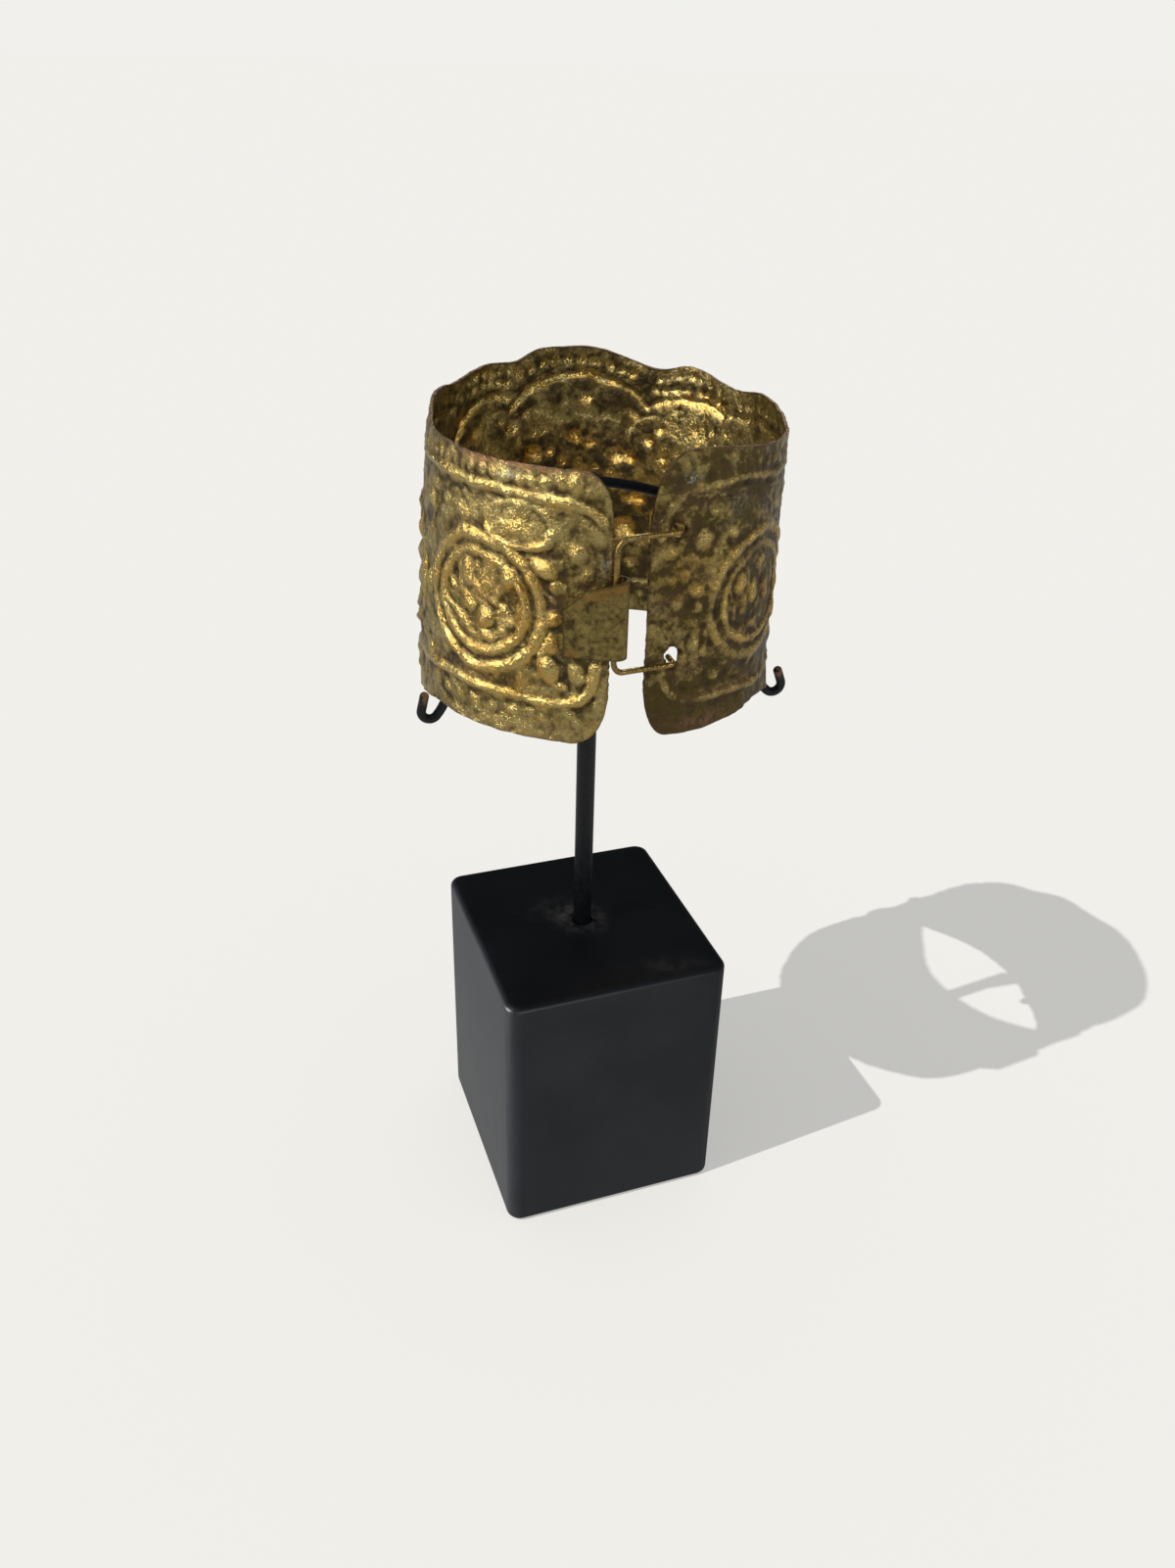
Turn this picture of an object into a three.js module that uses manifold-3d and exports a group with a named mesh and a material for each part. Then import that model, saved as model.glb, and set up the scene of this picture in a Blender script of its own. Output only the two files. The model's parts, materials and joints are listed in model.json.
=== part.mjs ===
import * as THREE from "three";
import { ConvexHull } from "three/addons/math/ConvexHull.js";
import { RoundedBoxGeometry } from "three/addons/geometries/RoundedBoxGeometry.js";
import { mergeVertices } from "three/addons/utils/BufferGeometryUtils.js";
import Module from "manifold-3d";

const wasm = await Module();
wasm.setup();

// A chased cuff bracelet on its display stand. Lengths are millimetres and angles degrees.
// +Z is up, the cuff's gap faces -Y, and the origin is the centre of the block's underside.

// Block that the stand's rod is set in
const blockWidth = 50;
const blockDepth = 52;
const blockHeight = 63;
const blockEdge = 1.8;
const blockTurn = 13.4;

// Rod and the bent wire that holds the cuff
const rodDiameter = 4;
const socketDepth = 20;
const wireDiameter = 1.9;
const wireTurn = 6.8;
const brazeDepth = 0.25;
const archRise = 43.8;
const archFall = 7.5;
const legReach = 14;
const leftArm = { shoulder: 34, slope: 50, belowSeat: 2.9, radius: 1.65, tip: 4, lean: 13 };
const rightArm = { shoulder: 45, slope: 40, belowSeat: 3.7, radius: 1.8, tip: 3.5, lean: 20 };

// Sheet of the cuff
const sheetThickness = 0.7;
const seatHeight = 121.4;
const panelHeight = 52.9;
const scallopHeight = 6.1;
const lowerScallopHeight = 3.4;
const cuffRadius = 35;
const cuffBehindRod = 7.8;
const rodOffCentre = 3.4;
const springOut = 2.3;
const ovalDepth = 0.67;
const flatDepth = 0.59;
const sideSqueeze = 0.35;
const sideShift = 0.8;
const leftLeanIn = 3.1;
const rightLeanIn = -0.3;
const leftFlare = 0.4;
const rightFlare = 1.3;
const flareHeight = 13;
const leftEndAngle = -175.3;
const rightEndAngle = 172.6;

// Raised border along both rims
const ridgeWidth = 2.5;
const ridgeHeight = 0.9;
const upperRidgeInset = 5.5;
const lowerRidgeInset = 7.6;
const upperBossInset = 2.9;
const lowerBossInset = 4.5;
const upperBossPitch = 2.65;
const lowerBossPitch = 4.6;
const borderBossWidth = 2.65;
const borderBossTall = 2.2;
const borderBossHeight = 0.55;

// Medallions between the borders
const medallionWidth = 26;
const medallionHeight = 24.8;
const ringWidth = 2.6;
const ringHeight = 0.85;
const flowerBossWidth = 4.4;
const flowerBossHeight = 1.1;
const petalLength = 5;
const petalWidth = 3.2;
const petalHeight = 0.8;
const petalCount = 6;
const cartoucheRingWidth = 2.2;
const cartoucheRingHeight = 0.7;

// Unevenness of the hammered sheet
const waveDepth = 0.22;
const waveLength = 23;

// Bail and the holes that it is hooked through
const bailDiameter = 1;
const bailHeight = 24.9;
const bailAboveSeat = 29.1;
const bailCorner = 2.4;
const bailHookLength = 2.2;
const holeFromEnd = 5;
const holeRaggedness = 0.1;
const upperHole = { wide: 2.4, tall: 2.6, lift: 0 };
const lowerHole = { wide: 2.6, tall: 3.6, lift: 0.7 };

// Plate folded round the other end
const plateThickness = 0.7;
const plateHeight = 13.8;
const plateAboveSeat = 27;
const plateFrontLength = 7.8;
const plateBackLength = 7;
const plateReach = 3.2;
const plateChamfer = 4.5;
const plateStandOff = 1.5;

// Clearances between pieces, and how finely curves and the sheet are divided
const clearance = 0.3;
const roundSides = 20;
const wireSides = 10;
const pointSpacing = 2.8;
const ridgeSpacing = 2.45;
const closestPoints = 0.95;
const fillSpacing = 4.1;

// Rims over the sheet's length, from the left end to the right: along is a share of the length,
// upper and lower are shares of the two scallop heights, added to the panel's rims.
const rims = [
  { along: 0.0, upper: 0.0, lower: 0.62 },
  { along: 0.14, upper: 0.0, lower: 0.64 },
  { along: 0.18, upper: 0.05, lower: 0.6 },
  { along: 0.232, upper: 0.1, lower: 0.12 },
  { along: 0.28, upper: 0.46, lower: 0.1 },
  { along: 0.32, upper: 0.49, lower: 0.05 },
  { along: 0.352, upper: 0.42, lower: 0.25 },
  { along: 0.405, upper: 0.66, lower: -0.1 },
  { along: 0.442, upper: 0.6, lower: 0.15 },
  { along: 0.468, upper: 0.92, lower: -0.1 },
  { along: 0.494, upper: 0.97, lower: -0.3 },
  { along: 0.53, upper: 0.93, lower: -0.3 },
  { along: 0.589, upper: 0.38, lower: 0.15 },
  { along: 0.628, upper: 0.6, lower: -0.1 },
  { along: 0.682, upper: 0.2, lower: 0.25 },
  { along: 0.729, upper: 0.38, lower: 0.05 },
  { along: 0.77, upper: 0.22, lower: 0.06 },
  { along: 0.812, upper: 0.05, lower: 0.12 },
  { along: 0.86, upper: 0.08, lower: 0.98 },
  { along: 0.9, upper: 0.22, lower: 0.8 },
  { along: 0.95, upper: 0.4, lower: 0.48 },
  { along: 1.0, upper: 0.42, lower: 0.5 },
];

// Rounded corners of the four panel ends: how far each reaches along the rim and up the end.
const corners = {
  leftUpper: { along: 5.3, up: 7.6 },
  leftLower: { along: 6.6, up: 9.7 },
  rightUpper: { along: 7.4, up: 13 },
  rightLower: { along: 4.5, up: 9.5 },
};

// The border ridge turns down into each corner: shares of the ridge's inset, from the end and
// from the rim.
const ridgeTurn = [
  { fromEnd: 0.42, fromRim: 2.25 },
  { fromEnd: 0.55, fromRim: 1.6 },
  { fromEnd: 0.95, fromRim: 1.18 },
];

// Medallions: along and up are shares of the sheet's length and of its height there.
const medallions = [
  { along: 0.117, up: 0.487 },
  { along: 0.27, up: 0.52 },
  { along: 0.418, up: 0.57 },
  { along: 0.607, up: 0.57 },
  { along: 0.744, up: 0.52 },
  { along: 0.883, up: 0.455 },
];

// Oval cartouches over the front medallions: half width and half height.
const cartouches = [
  { along: 0.079, up: 0.79, wide: 6.5, tall: 3.5 },
  { along: 0.94, up: 0.76, wide: 4.6, tall: 4.6 },
];

// Single bosses and leaves: half width, half height, rise, and lean from upright.
const bosses = [
  { along: 0.083, up: 0.785, wide: 2, tall: 2, rise: 1.1, lean: 0 },
  { along: 0.955, up: 0.71, wide: 2.1, tall: 1.9, rise: 1.1, lean: 0 },
  { along: 0.055, up: 0.657, wide: 1.2, tall: 2.6, rise: 0.9, lean: 60 },
  { along: 0.043, up: 0.595, wide: 1.3, tall: 1.4, rise: 0.8, lean: 0 },
  { along: 0.046, up: 0.478, wide: 1.3, tall: 1.4, rise: 0.9, lean: 0 },
  { along: 0.049, up: 0.383, wide: 1.2, tall: 1.9, rise: 0.8, lean: 0 },
  { along: 0.05, up: 0.292, wide: 1.7, tall: 2.9, rise: 1, lean: -12 },
  { along: 0.957, up: 0.51, wide: 1.2, tall: 1.9, rise: 0.8, lean: 20 },
  { along: 0.958, up: 0.34, wide: 1.6, tall: 3.6, rise: 1, lean: 14 },
  { along: 0.193, up: 0.8, wide: 1.7, tall: 1.7, rise: 0.9, lean: 0 },
  { along: 0.193, up: 0.5, wide: 1.3, tall: 3, rise: 0.9, lean: 0 },
  { along: 0.193, up: 0.24, wide: 1.7, tall: 1.7, rise: 0.9, lean: 0 },
  { along: 0.344, up: 0.78, wide: 1.5, tall: 1.3, rise: 0.9, lean: 0 },
  { along: 0.344, up: 0.53, wide: 1.2, tall: 2.8, rise: 0.9, lean: 0 },
  { along: 0.344, up: 0.27, wide: 1.6, tall: 1.6, rise: 0.9, lean: 0 },
  { along: 0.495, up: 0.69, wide: 1.6, tall: 1.6, rise: 1.1, lean: 0 },
  { along: 0.512, up: 0.66, wide: 1.4, tall: 1.4, rise: 1.1, lean: 0 },
  { along: 0.466, up: 0.62, wide: 2.2, tall: 2.1, rise: 1.1, lean: 0 },
  { along: 0.55, up: 0.62, wide: 2.2, tall: 2.1, rise: 1.1, lean: 0 },
  { along: 0.457, up: 0.81, wide: 1.9, tall: 1.3, rise: 0.9, lean: 20 },
  { along: 0.562, up: 0.8, wide: 1.9, tall: 1.3, rise: 0.9, lean: -20 },
  { along: 0.508, up: 0.42, wide: 3.4, tall: 3.4, rise: 1.1, lean: 0 },
  { along: 0.508, up: 0.25, wide: 2, tall: 2, rise: 0.9, lean: 0 },
  { along: 0.675, up: 0.78, wide: 1.5, tall: 1.3, rise: 0.9, lean: 0 },
  { along: 0.675, up: 0.53, wide: 1.2, tall: 2.8, rise: 0.9, lean: 0 },
  { along: 0.675, up: 0.27, wide: 1.6, tall: 1.6, rise: 0.9, lean: 0 },
  { along: 0.814, up: 0.8, wide: 1.7, tall: 1.7, rise: 0.9, lean: 0 },
  { along: 0.814, up: 0.24, wide: 1.7, tall: 1.7, rise: 0.9, lean: 0 },
];

const radians = THREE.MathUtils.degToRad;
const lerp = THREE.MathUtils.lerp;

// Solids to cut and join, and back again
function toSolid(geometry) {
  const bare = geometry.clone();
  bare.deleteAttribute("normal");
  bare.deleteAttribute("uv");
  const merged = mergeVertices(bare, 1e-4);
  return new wasm.Manifold(new wasm.Mesh({
    numProp: 3,
    vertProperties: new Float32Array(merged.attributes.position.array),
    triVerts: new Uint32Array(merged.index.array),
  }));
}

function toGeometry(solid) {
  const mesh = solid.getMesh();
  const geometry = new THREE.BufferGeometry();
  geometry.setAttribute("position", new THREE.BufferAttribute(mesh.vertProperties, 3));
  geometry.setIndex(new THREE.BufferAttribute(mesh.triVerts, 1));
  geometry.computeVertexNormals();
  return geometry;
}

function named(name, geometry, colour, roughness, metalness) {
  const material = new THREE.MeshStandardMaterial({ color: colour, roughness, metalness });
  const mesh = new THREE.Mesh(geometry, material);
  mesh.name = name;
  return mesh;
}

// Plan of the cuff: its radius from its own centre, by the angle round from the back.
const cuffCentre = new THREE.Vector3(rodOffCentre, cuffBehindRod, 0);

// The sides lean in towards the upper rim, the left more than the right, and flare out a little
// where they rest in the holder's hooks.
function sideInset(angle, z) {
  const side = Math.sin(angle);
  const leanIn = side < 0 ? leftLeanIn : rightLeanIn;
  const flare = side < 0 ? leftFlare : rightFlare;
  const up = (z - seatHeight) / panelHeight;
  const near = Math.max(0, 1 - (z - seatHeight) / flareHeight);
  const inward = sideSqueeze + sideShift * side + leanIn * up * Math.abs(up);
  return side * side * (inward - flare * near * near);
}

function planRadius(angle, z) {
  return cuffRadius - springOut * angle / Math.PI - ovalDepth * Math.sin(2 * angle)
    + flatDepth * Math.cos(3 * angle) - sideInset(angle, z);
}

function planPoint(angle, z) {
  const radius = planRadius(angle, z);
  return new THREE.Vector3(radius * Math.sin(angle), radius * Math.cos(angle), 0).add(cuffCentre);
}

// Angles at equal steps, and the length of sheet that leads to each
function measurePlan() {
  const steps = 720;
  const angles = [];
  const lengths = [0];
  for (let i = 0; i <= steps; i += 1) {
    angles.push(radians(lerp(leftEndAngle, rightEndAngle, i / steps)));
  }
  for (let i = 1; i <= steps; i += 1) {
    const before = planPoint(angles[i - 1], seatHeight);
    lengths.push(lengths[i - 1] + planPoint(angles[i], seatHeight).distanceTo(before));
  }
  return { angles, lengths };
}

const plan = measurePlan();
const sheetLength = plan.lengths[plan.lengths.length - 1];

function readTable(inputs, outputs, value) {
  let high = 1;
  while (high < inputs.length - 1 && inputs[high] < value) high += 1;
  const share = (value - inputs[high - 1]) / (inputs[high] - inputs[high - 1]);
  return lerp(outputs[high - 1], outputs[high], share);
}

const angleAt = (u) => readTable(plan.lengths, plan.angles, u);

// Point of the sheet's middle surface, moved out along its normal; past an end the sheet's own
// direction goes straight on.
function sheetPoint(u, z, outward) {
  const inside = THREE.MathUtils.clamp(u, 0, sheetLength);
  const angle = angleAt(inside);
  const middle = planPoint(angle, z);
  const ahead = planPoint(angle + 0.001, z).sub(planPoint(angle - 0.001, z)).normalize();
  const normal = new THREE.Vector3(-ahead.y, ahead.x, 0);
  middle.addScaledVector(ahead, u - inside).addScaledVector(normal, outward);
  return middle.setZ(z);
}

// Rims of the sheet, with the rounded corners of its ends
function smoothRim(side) {
  const points = rims.map((row) => new THREE.Vector2(row.along, row[side]));
  const curve = new THREE.SplineCurve(points);
  const samples = curve.getPoints(12 * rims.length);
  return (along) => readTable(samples.map((p) => p.x), samples.map((p) => p.y), along);
}

const upperShare = smoothRim("upper");
const lowerShare = smoothRim("lower");

function cornerDrop(u, left, right) {
  const fromLeft = Math.max(0, 1 - u / left.along);
  const fromRight = Math.max(0, 1 - (sheetLength - u) / right.along);
  const drop = (share, corner) => corner.up * (1 - Math.sqrt(Math.max(0, 1 - share * share)));
  return drop(Math.min(1, fromLeft), left) + drop(Math.min(1, fromRight), right);
}

const plainUpper = (u) => seatHeight + panelHeight + scallopHeight * upperShare(u / sheetLength);
const plainLower = (u) => seatHeight + lowerScallopHeight * lowerShare(u / sheetLength);
const upperRim = (u) => plainUpper(u) - cornerDrop(u, corners.leftUpper, corners.rightUpper);
const lowerRim = (u) => plainLower(u) + cornerDrop(u, corners.leftLower, corners.rightLower);

// Places given as shares of the sheet's length and of its height there
function placeOf(row) {
  const u = row.along * sheetLength;
  return new THREE.Vector2(u, lerp(plainLower(u), plainUpper(u), row.up));
}

// Relief: each feature lists the points that it needs, and says how high the sheet stands there
function bump(share) {
  return share >= 1 ? 0 : (1 - share * share) ** 1.5;
}

function ovalBoss(centre, wide, tall, rise, lean, spokes) {
  const turn = radians(lean);
  const points = [centre];
  for (let i = 0; i < spokes; i += 1) {
    const angle = 2 * Math.PI * i / spokes;
    const foot = new THREE.Vector2(wide * Math.cos(angle), tall * Math.sin(angle));
    points.push(foot.rotateAround(new THREE.Vector2(), -turn).add(centre));
  }
  const height = (point) => {
    const local = point.clone().sub(centre).rotateAround(new THREE.Vector2(), turn);
    return rise * bump(Math.hypot(local.x / wide, local.y / tall));
  };
  return { points, height };
}

function ovalRing(centre, wide, tall, width, rise, count) {
  const points = [];
  for (const offset of [0, width / 2, -width / 2]) {
    for (let i = 0; i < count; i += 1) {
      const angle = 2 * Math.PI * i / count;
      points.push(new THREE.Vector2(
        centre.x + (wide + offset) * Math.cos(angle),
        centre.y + (tall + offset) * Math.sin(angle),
      ));
    }
  }
  const height = (point) => {
    const angle = Math.atan2((point.y - centre.y) / tall, (point.x - centre.x) / wide);
    const crest = Math.hypot(wide * Math.cos(angle), tall * Math.sin(angle));
    return rise * bump(Math.abs(point.distanceTo(centre) - crest) / (width / 2));
  };
  return { points, height };
}

function ridgeAlong(path, width, rise) {
  const points = [];
  for (const side of [0, 1, -1]) {
    for (let i = 0; i < path.length; i += 1) {
      const before = path[Math.max(0, i - 1)];
      const after = path[Math.min(path.length - 1, i + 1)];
      const across = after.clone().sub(before).normalize();
      points.push(new THREE.Vector2(
        path[i].x - across.y * side * width / 2,
        path[i].y + across.x * side * width / 2,
      ));
    }
  }
  const nearest = new THREE.Vector3();
  const pieces = path.slice(1).map((end, i) => new THREE.Line3(
    new THREE.Vector3(path[i].x, path[i].y, 0),
    new THREE.Vector3(end.x, end.y, 0),
  ));
  const height = (point) => {
    const here = new THREE.Vector3(point.x, point.y, 0);
    let distance = width;
    for (const piece of pieces) {
      piece.closestPointToPoint(here, true, nearest);
      distance = Math.min(distance, nearest.distanceTo(here));
    }
    return rise * bump(distance / (width / 2));
  };
  return { points, height };
}

function borderRidge(rim, inset, inward) {
  const turnPoint = (row, fromRight) => {
    const run = inset * row.fromEnd;
    const u = fromRight ? sheetLength - run : run;
    return new THREE.Vector2(u, rim(u) + inward * inset * row.fromRim);
  };
  const control = ridgeTurn.map((row) => turnPoint(row, false));
  const start = 1.6 * inset;
  const stations = 40;
  for (let i = 0; i <= stations; i += 1) {
    const u = lerp(start, sheetLength - start, i / stations);
    control.push(new THREE.Vector2(u, rim(u) + inward * inset));
  }
  control.push(...ridgeTurn.map((row) => turnPoint(row, true)).reverse());
  const curve = new THREE.SplineCurve(control);
  const count = Math.round(curve.getLength() / ridgeSpacing);
  return ridgeAlong(curve.getSpacedPoints(count), ridgeWidth, ridgeHeight);
}

function borderBosses(rim, inset, inward, pitch) {
  const row = [];
  const count = Math.floor((sheetLength - 4 * inset) / pitch);
  const start = (sheetLength - count * pitch) / 2;
  const wide = Math.min(pitch, borderBossWidth) / 2;
  for (let i = 0; i <= count; i += 1) {
    const u = start + i * pitch;
    const centre = new THREE.Vector2(u, rim(u) + inward * inset);
    row.push(ovalBoss(centre, wide, borderBossTall / 2, borderBossHeight, 0, 4));
  }
  return row;
}

function medallion(row) {
  const centre = placeOf(row);
  const wide = medallionWidth / 2;
  const tall = medallionHeight / 2;
  const count = Math.round(Math.PI * (wide + tall) / pointSpacing);
  const innerWide = wide - ringWidth;
  const innerTall = tall - ringWidth;
  const features = [
    ovalRing(centre, wide, tall, ringWidth, ringHeight, count),
    ovalRing(centre, innerWide, innerTall, ringWidth, ringHeight, count),
    ovalBoss(centre, flowerBossWidth / 2, flowerBossWidth / 2, flowerBossHeight, 0, 6),
  ];
  for (let i = 0; i < petalCount; i += 1) {
    const turn = 2 * Math.PI * i / petalCount;
    const reach = (flowerBossWidth + petalLength) / 2 + clearance;
    const at = new THREE.Vector2(reach * Math.sin(turn), reach * Math.cos(turn)).add(centre);
    const lean = THREE.MathUtils.radToDeg(turn);
    features.push(ovalBoss(at, petalWidth / 2, petalLength / 2, petalHeight, lean, 6));
  }
  return features;
}

function reliefFeatures() {
  const features = medallions.flatMap(medallion);
  const width = cartoucheRingWidth;
  const rise = cartoucheRingHeight;
  for (const row of cartouches) {
    const count = Math.round(Math.PI * (row.wide + row.tall) / pointSpacing);
    features.push(ovalRing(placeOf(row), row.wide, row.tall, width, rise, count));
  }
  for (const row of bosses) {
    features.push(ovalBoss(placeOf(row), row.wide, row.tall, row.rise, row.lean, 6));
  }
  features.push(...borderBosses(plainUpper, upperBossInset, -1, upperBossPitch));
  features.push(...borderBosses(plainLower, lowerBossInset, 1, lowerBossPitch));
  features.push(borderRidge(plainUpper, upperRidgeInset, -1));
  features.push(borderRidge(plainLower, lowerRidgeInset, 1));
  return features;
}

const relief = reliefFeatures();

// Flat places that the hooked pieces lie against
const plateMiddle = seatHeight + plateAboveSeat;
const bailMiddle = seatHeight + bailAboveSeat;

function flatShare(u, z) {
  const plateEdge = plateFrontLength + 2 * clearance;
  const nearPlate = u < plateEdge && Math.abs(z - plateMiddle) < plateHeight / 2 + clearance;
  const nearHole = sheetLength - u < holeFromEnd + upperHole.tall
    && Math.abs(Math.abs(z - bailMiddle) - bailHeight / 2) < upperHole.tall;
  return nearPlate || nearHole ? 0 : 1;
}

function sheetRise(u, z) {
  const point = new THREE.Vector2(u, z);
  const highest = relief.reduce((rise, feature) => Math.max(rise, feature.height(point)), 0);
  const turn = 2 * Math.PI / waveLength;
  const wave = waveDepth * Math.sin(turn * u) * Math.cos(turn * (z - seatHeight));
  return flatShare(u, z) * (highest + wave);
}

// Points of the sheet, laid flat: along the rims and ends first, then on the relief, then between
function flatPoints() {
  const cell = closestPoints;
  const taken = new Map();
  const kept = [];
  const keyOf = (x, y) => `${Math.floor(x / cell)},${Math.floor(y / cell)}`;
  const isFree = (u, v) => {
    for (const dx of [-cell, 0, cell]) {
      for (const dy of [-cell, 0, cell]) {
        const near = taken.get(keyOf(u + dx, v + dy)) ?? [];
        if (near.some((p) => Math.hypot(p.x - u, p.y - v) < cell)) return false;
      }
    }
    return true;
  };
  const add = (u, v) => {
    if (!isFree(u, v)) return;
    const point = new THREE.Vector2(u, v);
    const key = keyOf(u, v);
    taken.set(key, [...(taken.get(key) ?? []), point]);
    kept.push(point);
  };
  const addInside = (point) => {
    const low = lowerRim(point.x);
    const high = upperRim(point.x);
    const margin = 0.6 * closestPoints;
    if (point.x < margin || point.x > sheetLength - margin) return;
    if (point.y < low + margin || point.y > high - margin) return;
    add(point.x, panelHeight * (point.y - low) / (high - low));
  };
  rimStations(corners.leftUpper, corners.rightUpper).forEach((u) => add(u, panelHeight));
  rimStations(corners.leftLower, corners.rightLower).forEach((u) => add(u, 0));
  const rows = Math.round(panelHeight / pointSpacing);
  for (let i = 1; i < rows; i += 1) {
    add(0, panelHeight * i / rows);
    add(sheetLength, panelHeight * i / rows);
  }
  for (const feature of relief) feature.points.forEach(addInside);
  fillPoints().forEach(addInside);
  return kept;
}

function rimStations(left, right) {
  const stations = [];
  const cornerSteps = 6;
  for (let i = 0; i < cornerSteps; i += 1) {
    const share = 1 - Math.cos(Math.PI * i / (2 * cornerSteps));
    stations.push(left.along * share, sheetLength - right.along * share);
  }
  const length = sheetLength - left.along - right.along;
  const count = Math.round(length / pointSpacing);
  for (let i = 0; i <= count; i += 1) stations.push(left.along + length * i / count);
  return stations;
}

function fillPoints() {
  const points = [];
  const rowStep = fillSpacing * Math.sqrt(3) / 2;
  const top = seatHeight + panelHeight + scallopHeight;
  let odd = false;
  for (let z = seatHeight - lowerScallopHeight; z < top; z += rowStep) {
    for (let u = odd ? fillSpacing / 2 : 0; u < sheetLength; u += fillSpacing) {
      points.push(new THREE.Vector2(u, z));
    }
    odd = !odd;
  }
  return points;
}

// Triangles between flat points: the underside of the hull of the points lifted onto a bowl.
// A tiny slide keeps evenly spaced points from lying on one circle.
function triangulate(points) {
  const slide = (i) => 0.004 * Math.sin(12.9898 * (i + 1));
  const index = new Map();
  const lifted = points.map((p, i) => {
    const u = p.x <= 0 || p.x >= sheetLength ? p.x : p.x + slide(i);
    const v = p.y <= 0 || p.y >= panelHeight ? p.y : p.y + slide(i + 0.5);
    const place = new THREE.Vector3(u, v, (u * u + v * v) / sheetLength);
    index.set(place, i);
    return place;
  });
  const hull = new ConvexHull().setFromPoints(lifted);
  const triangles = [];
  for (const face of hull.faces) {
    if (face.normal.z > -1e-7) continue;
    const first = face.edge;
    const second = first.next;
    triangles.push([first, second, second.next].map((edge) => index.get(edge.head().point)));
  }
  return triangles;
}

// Edges that only one triangle uses, which are the sheet's rims and ends
function openEdges(triangles) {
  const used = new Set(triangles.flatMap(([a, b, c]) => [`${a},${b}`, `${b},${c}`, `${c},${a}`]));
  const open = [...used].map((key) => key.split(",").map(Number));
  return open.filter(([a, b]) => !used.has(`${b},${a}`));
}

function sheetGeometry() {
  const flat = flatPoints();
  const faces = triangulate(flat);
  const count = flat.length;
  const outer = [];
  const inner = [];
  for (const point of flat) {
    const u = point.x;
    const z = lerp(lowerRim(u), upperRim(u), point.y / panelHeight);
    const rise = sheetRise(u, z);
    outer.push(...sheetPoint(u, z, rise + sheetThickness / 2).toArray());
    inner.push(...sheetPoint(u, z, rise - sheetThickness / 2).toArray());
  }
  const triangles = [];
  for (const [a, b, c] of faces) triangles.push(a, b, c, count + c, count + b, count + a);
  for (const [a, b] of openEdges(faces)) {
    triangles.push(b, a, count + a, b, count + a, count + b);
  }
  const geometry = new THREE.BufferGeometry();
  geometry.setAttribute("position", new THREE.Float32BufferAttribute([...outer, ...inner], 3));
  geometry.setIndex(triangles);
  return geometry;
}

// Bail holes, torn a little out of round
const holeMiddle = sheetLength - holeFromEnd;

function holeCutter(hole, wireHeight) {
  const z = wireHeight + hole.lift;
  const points = [];
  const sides = 14;
  for (let i = 0; i < sides; i += 1) {
    const angle = 2 * Math.PI * i / sides;
    const share = 0.5 * (1 + holeRaggedness * Math.sin(3 * angle + z));
    points.push(new THREE.Vector2(
      hole.wide * share * Math.cos(angle),
      hole.tall * share * Math.sin(angle),
    ));
  }
  const outline = new THREE.Shape(points);
  const depth = 8 * sheetThickness;
  const cutter = new THREE.ExtrudeGeometry(outline, { depth, bevelEnabled: false });
  cutter.translate(0, 0, -depth / 2);
  const centre = sheetPoint(holeMiddle, z, 0);
  const outward = sheetPoint(holeMiddle, z, 1).sub(centre);
  const upright = new THREE.Vector3(0, 0, 1);
  const across = upright.clone().cross(outward);
  cutter.applyMatrix4(new THREE.Matrix4().makeBasis(across, upright, outward));
  return cutter.translate(centre.x, centre.y, centre.z);
}

function cuffBand() {
  const upper = holeCutter(upperHole, bailMiddle + bailHeight / 2);
  const lower = holeCutter(lowerHole, bailMiddle - bailHeight / 2);
  const solid = toSolid(sheetGeometry()).subtract(toSolid(upper)).subtract(toSolid(lower));
  return named("cuff_band", toGeometry(solid), 0x8a7136, 0.42, 0.9);
}

// Wire drawn through a list of points, with one ring of sides at each point
class WirePath extends THREE.CatmullRomCurve3 {
  getUtoTmapping(share) {
    return share;
  }
}

function wireGeometry(points, diameter) {
  const outline = new THREE.Shape();
  for (let i = 0; i <= wireSides; i += 1) {
    const angle = 2 * Math.PI * (i % wireSides) / wireSides;
    const x = diameter / 2 * Math.cos(angle);
    const y = diameter / 2 * Math.sin(angle);
    if (i === 0) outline.moveTo(x, y);
    else outline.lineTo(x, y);
  }
  const path = new WirePath(points, false, "chordal");
  return new THREE.ExtrudeGeometry(outline, { extrudePath: path, steps: points.length - 1 });
}

// The fold that joins a run before a corner to the run after it, in equal turns
function roundCorner(before, corner, after, radius, turns) {
  const back = before.clone().sub(corner).normalize();
  const on = after.clone().sub(corner).normalize();
  const half = back.angleTo(on) / 2;
  const start = corner.clone().addScaledVector(back, radius / Math.tan(half));
  const end = corner.clone().addScaledVector(on, radius / Math.tan(half));
  const middle = back.clone().add(on).normalize().multiplyScalar(radius / Math.sin(half));
  const centre = corner.clone().add(middle);
  const first = start.clone().sub(centre);
  const last = end.clone().sub(centre);
  const sweep = first.angleTo(last);
  const points = [];
  for (let i = 0; i <= turns; i += 1) {
    const share = i / turns;
    const point = first.clone().multiplyScalar(Math.sin((1 - share) * sweep));
    point.addScaledVector(last, Math.sin(share * sweep));
    points.push(point.divideScalar(Math.sin(sweep)).add(centre));
  }
  return points;
}

// The holder's wire lies in an upright plane, brazed to the front of the rod
const wirePlane = new THREE.Matrix4().makeRotationZ(radians(wireTurn));
const wireBeforeRod = (rodDiameter + wireDiameter) / 2 - brazeDepth;
wirePlane.multiply(new THREE.Matrix4().makeTranslation(0, -wireBeforeRod, 0));
const toWirePlane = wirePlane.clone().invert();

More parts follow.
